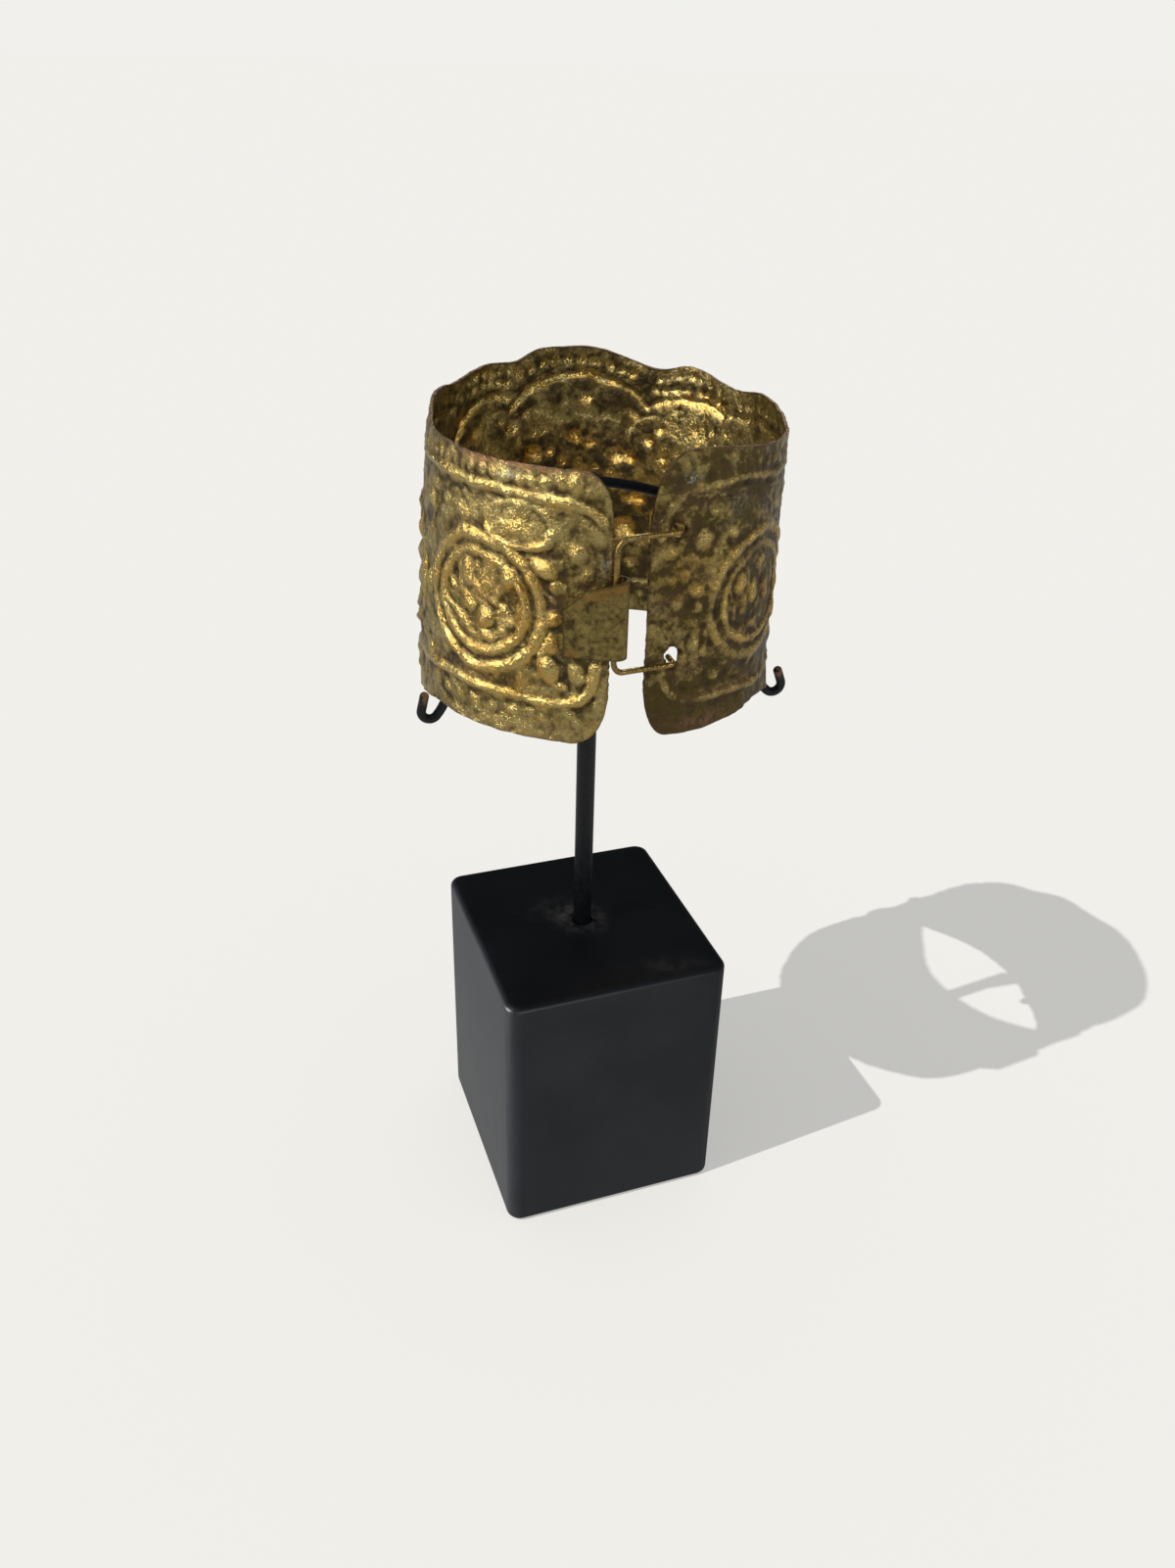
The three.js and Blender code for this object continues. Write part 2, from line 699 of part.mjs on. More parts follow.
// Where the cuff's wall crosses that plane, measured along the plane from the rod
function wallCrossing(side) {
  let low = side * Math.PI / 3;
  let high = side * Math.PI * 0.9;
  const onPlane = (angle) => planPoint(angle, seatHeight).applyMatrix4(toWirePlane);
  for (let i = 0; i < 40; i += 1) {
    const middle = (low + high) / 2;
    if (onPlane(middle).y > 0) low = middle;
    else high = middle;
  }
  return Math.abs(onPlane(low).x);
}

const archHeight = seatHeight + archRise;

// Half of the holder's wire, from the top of the arch out to the hook's tip: x is measured from
// the rod. The leg passes just inside the sheet's lower rim.
function holderHalf(side) {
  const arm = side < 0 ? leftArm : rightArm;
  const slope = radians(arm.slope);
  const inner = wallCrossing(side) - sheetThickness / 2;
  const legAtSeat = inner - clearance - wireDiameter / 2 / Math.sin(slope);
  const along = new THREE.Vector3(Math.cos(slope), 0, -Math.sin(slope));
  const legEnd = new THREE.Vector3(legAtSeat, 0, seatHeight);
  legEnd.addScaledVector(along, arm.belowSeat);
  const arch = new THREE.CubicBezierCurve3(
    new THREE.Vector3(0, 0, archHeight),
    new THREE.Vector3(arm.shoulder, 0, archHeight - arm.shoulder * Math.tan(radians(archFall))),
    legEnd.clone().addScaledVector(along, -legReach),
    legEnd,
  );
  const points = arch.getPoints(14);
  const across = new THREE.Vector3(Math.sin(slope), 0, Math.cos(slope));
  const centre = legEnd.clone().addScaledVector(across, arm.radius);
  const sweep = Math.PI / 2 + slope + radians(arm.lean);
  const turns = 9;
  for (let i = 1; i <= turns; i += 1) {
    const angle = Math.PI + Math.PI / 2 - slope + sweep * i / turns;
    points.push(new THREE.Vector3(
      centre.x + arm.radius * Math.cos(angle),
      0,
      centre.z + arm.radius * Math.sin(angle),
    ));
  }
  const lean = radians(90 + arm.lean);
  const tip = points[points.length - 1].clone();
  points.push(tip.add(new THREE.Vector3(Math.cos(lean), 0, Math.sin(lean)).multiplyScalar(arm.tip)));
  return points.map((point) => new THREE.Vector3(side * point.x, point.y, point.z));
}

function standHolder() {
  const points = [...holderHalf(-1).slice(1).reverse(), ...holderHalf(1)];
  points.forEach((point) => point.applyMatrix4(wirePlane));
  const wire = toSolid(wireGeometry(points, wireDiameter));
  const foot = blockHeight - socketDepth + clearance;
  const height = archHeight - foot;
  const rod = new THREE.CylinderGeometry(rodDiameter / 2, rodDiameter / 2, height, roundSides);
  rod.rotateX(Math.PI / 2);
  rod.translate(0, 0, foot + height / 2);
  return named("stand_holder", toGeometry(wire.add(toSolid(rod))), 0x16171a, 0.45, 0.3);
}

function standBlock() {
  const block = new RoundedBoxGeometry(blockWidth, blockDepth, blockHeight, 3, blockEdge);
  block.translate(0, 0, blockHeight / 2);
  block.rotateZ(radians(blockTurn));
  const radius = rodDiameter / 2 + clearance;
  const socket = new THREE.CylinderGeometry(radius, radius, 2 * socketDepth, roundSides);
  socket.rotateX(Math.PI / 2);
  socket.translate(0, 0, blockHeight);
  const solid = toSolid(block).subtract(toSolid(socket));
  return named("stand_block", toGeometry(solid), 0x1b1b1e, 0.6, 0);
}

// Plate: its plan is a strip folded round the end of the sheet, given as runs along the sheet
// from its end, and places outward from the sheet's middle.
const plateInner = sheetThickness / 2 + plateStandOff;
const plateBackPlace = -sheetThickness / 2 - clearance - plateThickness / 2;
const plateFrontPlace = plateInner + plateThickness / 2;

function stripOutline(middle, thickness) {
  const left = [];
  const right = [];
  middle.forEach((point, i) => {
    const before = middle[Math.max(0, i - 1)];
    const after = middle[Math.min(middle.length - 1, i + 1)];
    const across = after.clone().sub(before).normalize();
    const side = new THREE.Vector2(-across.y, across.x).multiplyScalar(thickness / 2);
    left.push(point.clone().add(side));
    right.push(point.clone().sub(side));
  });
  return new THREE.Shape([...left, ...right.reverse()]);
}

function hookPlate() {
  const foldRadius = (plateFrontPlace - plateBackPlace) / 2;
  const foldMiddle = (plateFrontPlace + plateBackPlace) / 2;
  const foldStart = -(plateReach - foldRadius - plateThickness / 2);
  const top = plateMiddle + plateHeight / 2;
  const flat = (u, outward) => {
    const point = sheetPoint(u, top, outward);
    return new THREE.Vector2(point.x, point.y);
  };
  const middle = [];
  const steps = 5;
  for (let i = 0; i <= steps; i += 1) {
    middle.push(flat(lerp(plateBackLength, foldStart, i / steps), plateBackPlace));
  }
  const turns = 10;
  for (let i = 1; i <= turns; i += 1) {
    const angle = -Math.PI / 2 - Math.PI * i / turns;
    const run = foldStart + foldRadius * Math.cos(angle);
    middle.push(flat(run, foldMiddle + foldRadius * Math.sin(angle)));
  }
  for (let i = 1; i <= steps; i += 1) {
    middle.push(flat(lerp(foldStart, plateFrontLength, i / steps), plateFrontPlace));
  }
  const outline = stripOutline(middle, plateThickness);
  const strip = new THREE.ExtrudeGeometry(outline, { depth: plateHeight, bevelEnabled: false });
  strip.translate(0, 0, plateMiddle - plateHeight / 2);
  const solid = toSolid(strip).subtract(toSolid(plateCornerCutter()));
  return named("hook_plate", toGeometry(solid), 0x85754a, 0.45, 0.85);
}

// Takes the upper corner off the plate's front leaf
function plateCornerCutter() {
  const top = plateMiddle + plateHeight / 2;
  const corner = sheetPoint(plateFrontLength, top, plateFrontPlace);
  const along = sheetPoint(0, top, plateFrontPlace).sub(corner).normalize();
  const side = plateChamfer * Math.SQRT2;
  const cutter = new THREE.BoxGeometry(side, 2 * plateStandOff, side);
  cutter.rotateY(Math.PI / 4);
  cutter.rotateZ(Math.atan2(along.y, along.x));
  return cutter.translate(corner.x, corner.y, corner.z);
}

// Bail: out of the upper hole, across the gap, down inside the plate's fold and back
function bailPoints() {
  const wireOut = sheetThickness / 2 + clearance + bailDiameter / 2;
  const barRun = -(clearance + bailDiameter / 2);
  const barPlace = (plateFrontPlace + plateBackPlace) / 2;
  const inner = (z) => sheetPoint(holeMiddle, z, -wireOut - bailHookLength);
  const outer = (z) => sheetPoint(holeMiddle, z, wireOut + bailDiameter / 2);
  const shoulder = (z) => sheetPoint(sheetLength, z, wireOut + bailDiameter / 2);
  const bar = (z) => sheetPoint(barRun, z, barPlace);
  const top = bailMiddle + bailHeight / 2;
  const low = bailMiddle - bailHeight / 2;
  const bend = bailDiameter;
  const half = (z, other) => [
    inner(z),
    ...roundCorner(inner(z), outer(z), shoulder(z), bend, 4),
    ...roundCorner(shoulder(z), bar(z), bar(other), bailCorner, 5),
  ];
  return [...half(top, low), ...half(low, top).reverse()];
}

function wireBail() {
  const geometry = wireGeometry(bailPoints(), bailDiameter);
  return named("wire_bail", geometry, 0x6f5a2c, 0.5, 0.85);
}

const cuffBracelet = new THREE.Group();
cuffBracelet.add(cuffBand(), hookPlate(), wireBail(), standHolder(), standBlock());

export default cuffBracelet;
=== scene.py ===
import json
import math

import bpy
import numpy as np
from mathutils import Matrix, Vector, noise

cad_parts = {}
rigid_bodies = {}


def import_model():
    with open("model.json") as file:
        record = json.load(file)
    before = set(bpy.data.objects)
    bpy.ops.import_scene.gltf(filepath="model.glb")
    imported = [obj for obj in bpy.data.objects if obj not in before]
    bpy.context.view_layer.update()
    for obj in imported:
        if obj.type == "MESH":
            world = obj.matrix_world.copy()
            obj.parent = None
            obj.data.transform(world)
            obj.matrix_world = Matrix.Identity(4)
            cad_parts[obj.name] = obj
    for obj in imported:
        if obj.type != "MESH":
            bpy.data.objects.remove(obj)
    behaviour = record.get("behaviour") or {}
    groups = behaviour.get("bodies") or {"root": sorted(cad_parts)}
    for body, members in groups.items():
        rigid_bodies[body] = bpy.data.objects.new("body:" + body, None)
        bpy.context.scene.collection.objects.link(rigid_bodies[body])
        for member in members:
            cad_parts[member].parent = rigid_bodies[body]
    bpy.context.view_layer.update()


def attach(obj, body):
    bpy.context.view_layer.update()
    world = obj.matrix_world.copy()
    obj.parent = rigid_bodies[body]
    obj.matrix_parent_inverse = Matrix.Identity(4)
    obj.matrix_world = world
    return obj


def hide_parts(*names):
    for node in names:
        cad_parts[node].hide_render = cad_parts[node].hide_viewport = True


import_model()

bl_info = {
    "name": "Chased Cuff Bracelet",
    "version": (1, 0, 0),
    "blender": (4, 5, 0),
    "location": "View3D > Sidebar > Cuff",
    "description": "Builds a chased cuff bracelet on its display stand",
    "category": "Add Mesh",
}

MM = 0.001

# Plan of the cuff in millimetres: its radius from its own centre, by the angle round from the back
CENTRE_X, CENTRE_Y = 3.4, 7.8
PLAN = {"radius": 35.0, "spring": 2.3, "oval": 0.67, "flat": 0.59, "squeeze": 0.35, "shift": 0.8}
LEAN_IN = {"left": 3.1, "right": -0.3}
FLARE = {"left": 0.4, "right": 1.3, "height": 13.0}
END_ANGLES = (-175.3, 172.6)
SEAT, PANEL = 121.4, 52.9
UPPER_SCALLOP, LOWER_SCALLOP = 6.1, 3.4

# The flat sheet: u runs along it, from the left end to the right end, and 0 is the back's middle
LEFT_END, RIGHT_END = -110.5, 102.9
SHEET = RIGHT_END - LEFT_END

# Rims over the sheet's length: along is a share of the length, the others of the scallop heights
RIM_ALONG = (
    0.0, 0.14, 0.18, 0.232, 0.28, 0.32, 0.352, 0.405, 0.442, 0.468, 0.494, 0.53,
    0.589, 0.628, 0.682, 0.729, 0.77, 0.812, 0.86, 0.9, 0.95, 1.0,
)
RIM_UPPER = (
    0.0, 0.0, 0.05, 0.1, 0.46, 0.49, 0.42, 0.66, 0.6, 0.92, 0.97, 0.93,
    0.38, 0.6, 0.2, 0.38, 0.22, 0.05, 0.08, 0.22, 0.4, 0.42,
)
RIM_LOWER = (
    0.62, 0.64, 0.6, 0.12, 0.1, 0.05, 0.25, -0.1, 0.15, -0.1, -0.3, -0.3,
    0.15, -0.1, 0.25, 0.05, 0.06, 0.12, 0.98, 0.8, 0.48, 0.5,
)
# Rounded corners: reach along the rim, and up the end
CORNERS = {
    "left_upper": (5.3, 7.6),
    "left_lower": (6.6, 9.7),
    "right_upper": (7.4, 13.0),
    "right_lower": (4.5, 9.5),
}

# Holes for the bail: distance from the right end, height, half width, half height
HOLE_FROM_END = 5.0
BAIL_MIDDLE, BAIL_HEIGHT = 150.5, 24.9
HOLES = (
    {"z": BAIL_MIDDLE + BAIL_HEIGHT / 2 - 0.4, "wide": 1.3, "tall": 1.5},
    {"z": BAIL_MIDDLE - BAIL_HEIGHT / 2 + 0.9, "wide": 1.3, "tall": 1.8},
)

# Ornament of the left panel. Ridges are (points, width, rise); domes (u, z, half width, half
# height, rise, lean).
LEFT_RIDGES = (
    (((-108.9, 165.6), (-107.4, 167.4), (-103.7, 168.6), (-97, 169.0), (-88, 169.2),
      (-78, 169.6), (-68, 170.1), (-58, 170.4)), 1.9, 0.75),
    (((-84, 167.2), (-80.5, 166.9), (-77, 166.6)), 0.9, 0.3),
    (((-107.3, 164.4), (-105.4, 165.6)), 0.8, 0.3),
    (((-99.9, 163.3), (-99.2, 161.4), (-96.4, 160.2), (-92.5, 159.9), (-89.3, 160.7),
      (-87.3, 162.6)), 1.7, 0.85),
    (((-99.9, 163.3), (-99.4, 165.4), (-97.0, 167.0), (-93, 167.4), (-89.5, 166.6),
      (-87.3, 164.6), (-87.3, 162.6)), 1.3, 0.4),
    (((-95.4, 164.8), (-93.8, 166.0), (-91.6, 165.7), (-90.6, 164.2)), 0.8, 0.35),
    (((-99.0, 157.9), (-96.3, 156.9), (-93.3, 156.8)), 0.8, 0.35),
    (((-99.2, 142.9), (-98.3, 140.2), (-98.8, 137.0), (-101.2, 135.2), (-102.8, 134.7)),
     1.3, 0.65),
    (((-97.3, 155.6), (-98.8, 152.7), (-101.4, 150.3)), 1.0, 0.45),
    (((-80.2, 143.8), (-77.6, 145.6), (-75.2, 147.8)), 1.2, 0.6),
    (((-92.2, 145.1), (-91.6, 147.2), (-89.7, 148.4), (-86.7, 149.4), (-84.3, 151.2)),
     1.1, 0.6),
    (((-94.6, 152.5), (-95.5, 149.0), (-94.9, 145.2), (-92.6, 142.3), (-89.6, 140.6)),
     1.0, 0.45),
    (((-90.6, 143.6), (-88.8, 141.9), (-85.9, 141.0), (-83.0, 141.6), (-81.2, 143.2)),
     0.9, 0.45),
    (((-88.9, 156.3), (-86.9, 154.6), (-86.3, 152.2), (-87.0, 150.4)), 0.9, 0.5),
    (((-80.0, 156.0), (-78.0, 154.0), (-77.3, 151.4), (-78.3, 149.3)), 0.9, 0.5),
    (((-75.2, 154.0), (-73.3, 153.3), (-72.9, 151.5), (-74.3, 150.7)), 0.9, 0.5),
    (((-108.4, 140.4), (-107.9, 136.4), (-106.8, 133.3), (-104.4, 131.7), (-100, 131.1),
      (-94, 131.0), (-88, 131.6), (-80, 131.8), (-70, 131.5), (-60, 131)), 1.9, 0.75),
    (((-108.6, 160.5), (-109.2, 157.0), (-109.0, 153.0)), 0.8, 0.2),
    (((-72, 163.5), (-69.5, 160.0), (-68.3, 156.0)), 1.1, 0.45),
    (((-70.2, 139.0), (-67.3, 142.6), (-66.6, 147.2)), 1.1, 0.45),
    (((-68.0, 165.6), (-64.5, 164.0), (-61.8, 161.0)), 1.0, 0.4),
    (((-67.5, 135.0), (-63.6, 136.4), (-60.9, 139.6)), 1.0, 0.4),
)
LEFT_DOMES = (
    (-92.9, 163.4, 2.1, 2.0, 1.05, 0),
    (-93.6, 163.6, 6.2, 3.4, 0.45, 0),
    (-98.8, 156.9, 2.9, 1.5, 1.0, 32),
    (-101.3, 153.6, 1.5, 1.6, 0.95, 0),
    (-100.6, 147.8, 1.5, 1.7, 1.1, 0),
    (-100.1, 143.0, 1.2, 2.2, 0.8, 0),
    (-99.9, 138.3, 1.9, 3.0, 1.05, -10),
    (-86.3, 145.3, 2.1, 2.0, 1.25, 0),
    (-86.7, 141.9, 1.3, 1.1, 0.7, 0),
    (-91.9, 153.9, 1.7, 2.6, 0.85, 40),
    (-82.4, 152.9, 1.4, 2.8, 0.85, -12),
    (-82.2, 147.2, 1.3, 2.5, 0.7, -28),
    (-77.8, 141.6, 1.4, 2.2, 0.8, -30),
    (-74.6, 145.0, 1.0, 1.5, 0.5, 0),
    (-90.2, 149.2, 1.0, 2.0, -0.55, 20),
    (-92.3, 148.6, 1.3, 3.8, -0.6, 8),
    (-78.8, 151.6, 1.0, 3.0, -0.5, -10),
    (-104.6, 160.2, 1.7, 1.7, 0.3, 0),
    (-106.3, 156.4, 1.3, 1.6, 0.25, 0),
    (-104.5, 144.3, 1.2, 2.2, 0.35, 0),
    (-105.2, 137.6, 1.5, 2.4, 0.4, -20),
    (-81.0, 163.6, 2.4, 1.6, 0.4, 15),
    (-75.8, 164.9, 1.6, 1.3, 0.5, 0),
    (-71.4, 166.2, 1.5, 1.2, 0.5, 0),
    (-103.7, 129.2, 1.1, 0.9, 0.45, 0),
    (-98.7, 127.8, 1.0, 0.9, 0.4, 0),
    (-92.5, 128.0, 1.2, 1.0, 0.55, 0),
    (-88.6, 128.3, 1.0, 0.9, 0.5, 0),
    (-83.8, 128.6, 1.1, 0.9, 0.5, 0),
    (-80.2, 128.5, 1.0, 0.9, 0.45, 0),
    (-76.0, 128.3, 1.1, 0.9, 0.5, 0),
    (-71.8, 128.2, 1.1, 0.9, 0.45, 0),
    (-67.4, 128.0, 1.1, 0.9, 0.45, 0),
)
LEFT_MEDALLION = {"u": -85.3, "z": 148.0, "rings": ((13.1, 12.4, 2.5, 0.85), (9.9, 9.3, 1.9, 0.9))}

RIGHT_RIDGES = (
    (((101.0, 161.5), (100.3, 165.4), (98.5, 168.4), (95.4, 170.0), (91.5, 170.5),
      (88, 170.7), (82, 170.3), (75, 169.6), (66, 169.4), (56, 169.6)), 1.7, 0.7),
    (((99.0, 166.4), (96.3, 168.4), (93.3, 169.0), (90.4, 168.6), (86, 168.4), (80.7, 167.9),
      (75, 167.5), (69, 167.0)), 0.9, 0.35),
    (((89.4, 158.0), (91.4, 157.1), (93.6, 157.0), (95.6, 158.0)), 0.9, 0.5),
    (((92.6, 164.4), (90.4, 163.8), (87.9, 164.8), (87.2, 167.0)), 0.9, 0.4),
    (((91.6, 143.2), (91.2, 141.2), (91.9, 139.2), (94.2, 137.8)), 1.2, 0.7),
    (((95.4, 145.0), (96.2, 141.8), (95.5, 138.6)), 0.9, 0.45),
    (((98.9, 144.2), (99.3, 141.4), (98.9, 138.8)), 0.8, 0.4),
    (((97.6, 146.4), (98.0, 143.6), (97.2, 140.8)), 0.7, 0.3),
    (((60, 129.6), (70, 129.0), (80, 128.9), (86, 129.3), (93, 129.4), (97.2, 130.7),
      (99.4, 133.2), (99.9, 137.4)), 1.6, 0.6),
    (((97.0, 131.4), (92.0, 130.9), (86.5, 131.0), (80, 131.1)), 0.8, 0.3),
    (((90.8, 154.6), (89.4, 151.4), (89.2, 148.0)), 0.9, 0.35),
    (((84.6, 155.2), (82.2, 153.0), (81.2, 150.0), (81.9, 146.4)), 1.0, 0.5),
    (((79.4, 157.0), (76.8, 154.4), (75.8, 150.4), (76.9, 146.4), (79.3, 143.6)), 1.0, 0.5),
    (((86.4, 149.8), (84.6, 146.0), (84.6, 142.2)), 0.9, 0.45),
    (((73.8, 152.6), (71.6, 149.4), (71.2, 145.6), (73.0, 142.4)), 0.9, 0.45),
    (((66.2, 163.8), (63.2, 160.8), (61.6, 157.2)), 1.0, 0.4),
    (((66.0, 134.8), (62.8, 137.2), (61.2, 140.6)), 1.0, 0.4),
)
RIGHT_DOMES = (
    (90.0, 166.3, 2.7, 2.1, 0.45, 0),
    (93.0, 160.4, 2.2, 2.3, 1.05, 0),
    (75.5, 166.4, 1.0, 0.9, 0.45, 0),
    (71.8, 163.2, 1.0, 0.9, 0.5, 0),
    (76.0, 161.2, 1.1, 0.9, 0.5, 0),
    (80.6, 163.5, 2.8, 1.8, 0.45, 10),
    (94.0, 151.0, 1.6, 1.5, 0.85, 0),
    (93.1, 148.1, 1.1, 1.0, 0.6, 0),
    (93.5, 145.5, 1.4, 1.1, 0.8, 0),
    (93.7, 141.7, 1.4, 3.2, 0.95, 8),
    (96.6, 154.0, 1.3, 1.3, 0.4, 0),
    (98.6, 158.6, 1.1, 1.4, 0.3, 0),
    (97.2, 149.4, 1.2, 1.8, 0.35, 10),
    (86.8, 161.0, 1.5, 1.0, 0.4, 20),
    (83.4, 150.6, 1.3, 2.6, 0.8, 14),
    (79.6, 148.6, 1.6, 3.0, 0.95, 6),
    (79.0, 141.8, 1.8, 1.5, 0.8, 0),
    (74.6, 147.2, 1.1, 2.6, 0.7, -8),
    (84.2, 155.4, 1.4, 1.2, 0.5, 0),
    (78.0, 153.4, 1.4, 1.3, 0.6, 0),
    (83.2, 146.2, 0.9, 2.8, -0.5, 8),
    (76.6, 149.0, 0.8, 2.8, -0.5, 0),
    (88.9, 133.8, 1.8, 1.2, 0.4, 0),
    (82.4, 133.2, 2.0, 1.1, 0.4, 0),
    (95.6, 127.4, 1.1, 0.9, 0.35, 0),
    (90.4, 126.8, 1.2, 0.9, 0.35, 0),
    (85.6, 126.6, 1.0, 0.8, 0.35, 0),
    (80.8, 126.8, 1.1, 0.9, 0.35, 0),
    (76.0, 127.0, 1.1, 0.9, 0.35, 0),
)
RIGHT_MEDALLION = {"u": 77.7, "z": 147.5, "rings": ((13.0, 12.1, 2.4, 0.8), (9.8, 9.2, 1.8, 0.8))}

BACK_DOMES = (
    (-2.3, 161.6, 1.9, 1.8, 1.5, 0),
    (0.6, 160.4, 1.7, 1.6, 1.45, 0),
    (1.4, 162.7, 1.0, 1.0, 0.9, 0),
    (-0.4, 163.6, 0.9, 0.9, 0.7, 0),
    (0.0, 169.8, 1.6, 1.3, 0.9, 0),
    (-11.5, 158.0, 2.4, 2.3, 1.5, 0),
    (-8.0, 158.4, 1.4, 1.3, 1.1, 0),
    (6.4, 157.6, 2.4, 2.2, 1.5, 0),
    (9.9, 157.3, 1.8, 1.7, 1.3, 0),
    (-5.0, 155.9, 1.0, 1.0, 1.1, 0),
    (-1.2, 156.3, 1.0, 1.0, 1.1, 0),
    (2.4, 155.2, 1.0, 1.0, 1.1, 0),
    (-13.5, 166.8, 1.2, 1.1, 0.8, 20),
    (10.4, 166.5, 2.2, 1.5, 1.0, -20),
    (-4.9, 165.6, 2.6, 1.2, 0.5, -15),
    (4.4, 166.0, 1.1, 1.0, 0.6, 0),
    (-17.4, 164.4, 2.1, 1.9, 1.3, 0),
    (-19.9, 166.2, 1.2, 1.2, 0.9, 0),
    (-15.8, 161.0, 1.0, 1.4, 0.6, 0),
    (13.9, 161.6, 1.6, 1.5, 1.3, 0),
    (16.6, 164.3, 1.6, 1.5, 1.3, 0),
    (17.6, 158.0, 1.3, 1.2, 1.0, 0),
    (21.2, 159.6, 1.3, 1.3, 1.0, 0),
    (27.0, 164.9, 3.2, 2.3, 0.6, 0),
    (30.2, 166.0, 1.3, 1.2, 0.9, 0),
    (25.4, 165.2, 1.2, 1.2, 0.9, 0),
    (-27.6, 164.2, 2.4, 2.0, 0.7, 15),
    (-31.6, 161.2, 1.4, 1.8, 0.8, 0),
    (-1.8, 144.0, 4.0, 3.8, 1.3, 0),
    (-7.6, 146.5, 1.4, 3.0, 0.9, 24),
    (4.0, 146.5, 1.4, 3.0, 0.9, -24),
    (-6.4, 138.6, 1.4, 2.6, 0.8, -30),
    (2.8, 138.6, 1.4, 2.6, 0.8, 30),
    (-1.8, 134.8, 2.0, 1.6, 0.9, 0),
    (-1.8, 151.0, 1.5, 1.7, 0.8, 0),
    (9.2, 141.4, 3.4, 3.2, 1.5, 0),
    (11.8, 148.5, 2.3, 1.5, 1.2, 0),
    (11.2, 133.4, 1.6, 1.5, 1.0, 0),
    (-12.8, 141.4, 3.4, 3.2, 1.5, 0),
    (-15.4, 148.5, 2.3, 1.5, 1.2, 0),
    (-14.8, 133.4, 1.6, 1.5, 1.0, 0),
)
BACK_RIDGES = (
    (((-9.8, 150.4), (-6.6, 152.6), (-1.8, 153.8), (3.0, 152.6), (6.2, 150.4)), 1.2, 0.6),
    (((-9.6, 141.6), (-7.6, 137.6), (-1.8, 132.2), (4.0, 137.6), (6.0, 141.6)), 1.2, 0.5),
    (((-35.0, 164.4), (-32.0, 168.0), (-28.6, 170.4), (-24.4, 171.4), (-20.6, 171.2),
      (-18.0, 170.2)), 2.3, 0.95),
    (((-16.8, 168.6), (-13.0, 171.2), (-9.0, 172.9), (-4.6, 174.1), (-0.4, 174.4),
      (4.4, 173.6), (8.6, 172.0), (11.4, 170.2), (13.4, 168.2)), 2.4, 1.1),
    (((15.2, 168.8), (18.6, 170.6), (23.0, 171.4), (28.0, 171.0), (32.6, 169.4)), 2.4, 1.1),
    (((-16.6, 170.8), (-9.2, 174.7), (-0.4, 176.1), (8.8, 173.8), (13.6, 170.4)), 0.9, 0.45),
    (((15.6, 171.4), (23.0, 173.2), (32.8, 171.2)), 0.9, 0.45),
    (((9.6, 160.4), (10.2, 163.6), (12.4, 165.8), (15.6, 166.6), (19.0, 165.4),
      (20.8, 162.6)), 1.1, 0.5),
    (((-12.8, 161.8), (-9.8, 163.6), (-7.0, 162.6)), 1.0, 0.4),
    (((4.6, 161.0), (6.2, 163.4), (5.6, 166.0)), 1.0, 0.4),
    (((-24.0, 160.4), (-24.6, 164.0), (-23.0, 167.0), (-19.6, 168.4), (-15.8, 167.2)), 1.0, 0.4),
)

# Flowered medallions of the back and the sides, as u, z and size, and the rings of each, as half
# width, half height, width of the ridge and rise
FLOWERS = ((-52.9, 147.2, 1.0), (-28.2, 143.6, 0.66), (24.6, 143.6, 0.66), (48.3, 147.2, 1.0))
FLOWER_RINGS = ((13.0, 12.3, 2.1, 0.85), (10.2, 9.6, 1.8, 0.8))

# Bosses and leaves between the flowered medallions, on either side
SIDE_DOMES = (
    (-69.3, 163.2, 1.7, 1.7, 0.8, 0), (-69.3, 147.3, 1.3, 3.0, 0.8, 0),
    (-69.3, 133.4, 1.7, 1.7, 0.7, 0), (-37.1, 163.2, 1.5, 1.3, 0.8, 0),
    (-37.1, 149.0, 1.2, 2.8, 0.8, 0), (-37.1, 136.2, 1.6, 1.6, 0.8, 0),
    (33.5, 163.2, 1.5, 1.3, 0.8, 0), (33.5, 149.0, 1.2, 2.8, 0.8, 0),
    (33.5, 136.2, 1.6, 1.6, 0.8, 0), (63.2, 164.0, 1.7, 1.7, 0.8, 0),
    (63.2, 133.6, 1.7, 1.7, 0.8, 0),
)

# Rows of small bosses under the rims: first u, last u, depth below the rim, pitch, half sizes
UPPER_ROWS = (
    (-104.3, -56.0, 2.6, 2.65, 1.05, 1.25, 0.5),
    (-54.0, -34.6, 2.9, 2.65, 1.05, 1.1, 0.55),
    (-33.0, -16.5, 1.7, 2.5, 1.0, 1.0, 0.8),
    (-33.5, -17.5, 4.0, 2.6, 1.1, 1.0, 0.9),
    (-15.0, 11.5, 2.9, 2.8, 1.3, 1.25, 1.15),
    (16.0, 33.0, 2.0, 2.5, 1.0, 0.9, 0.8),
    (15.0, 33.5, 4.4, 2.6, 1.2, 1.1, 1.1),
    (35.0, 55.0, 2.9, 2.65, 1.05, 1.1, 0.55),
    (57.0, 84.0, 2.9, 2.65, 1.0, 1.1, 0.35),
)
LOWER_ROWS = (
    (-62.0, 60.0, 4.5, 3.6, 1.2, 1.1, 0.5),
)

# Ridges that follow the rims round the back and the sides: first u, last u, depth, width, rise
UPPER_BORDERS = (
    (-57.0, -36.6, 5.4, 1.9, 0.8),
    (35.6, 56.0, 5.4, 1.9, 0.8),
)
LOWER_BORDERS = (
    (-62.0, 60.0, 7.6, 1.9, 0.75),
)

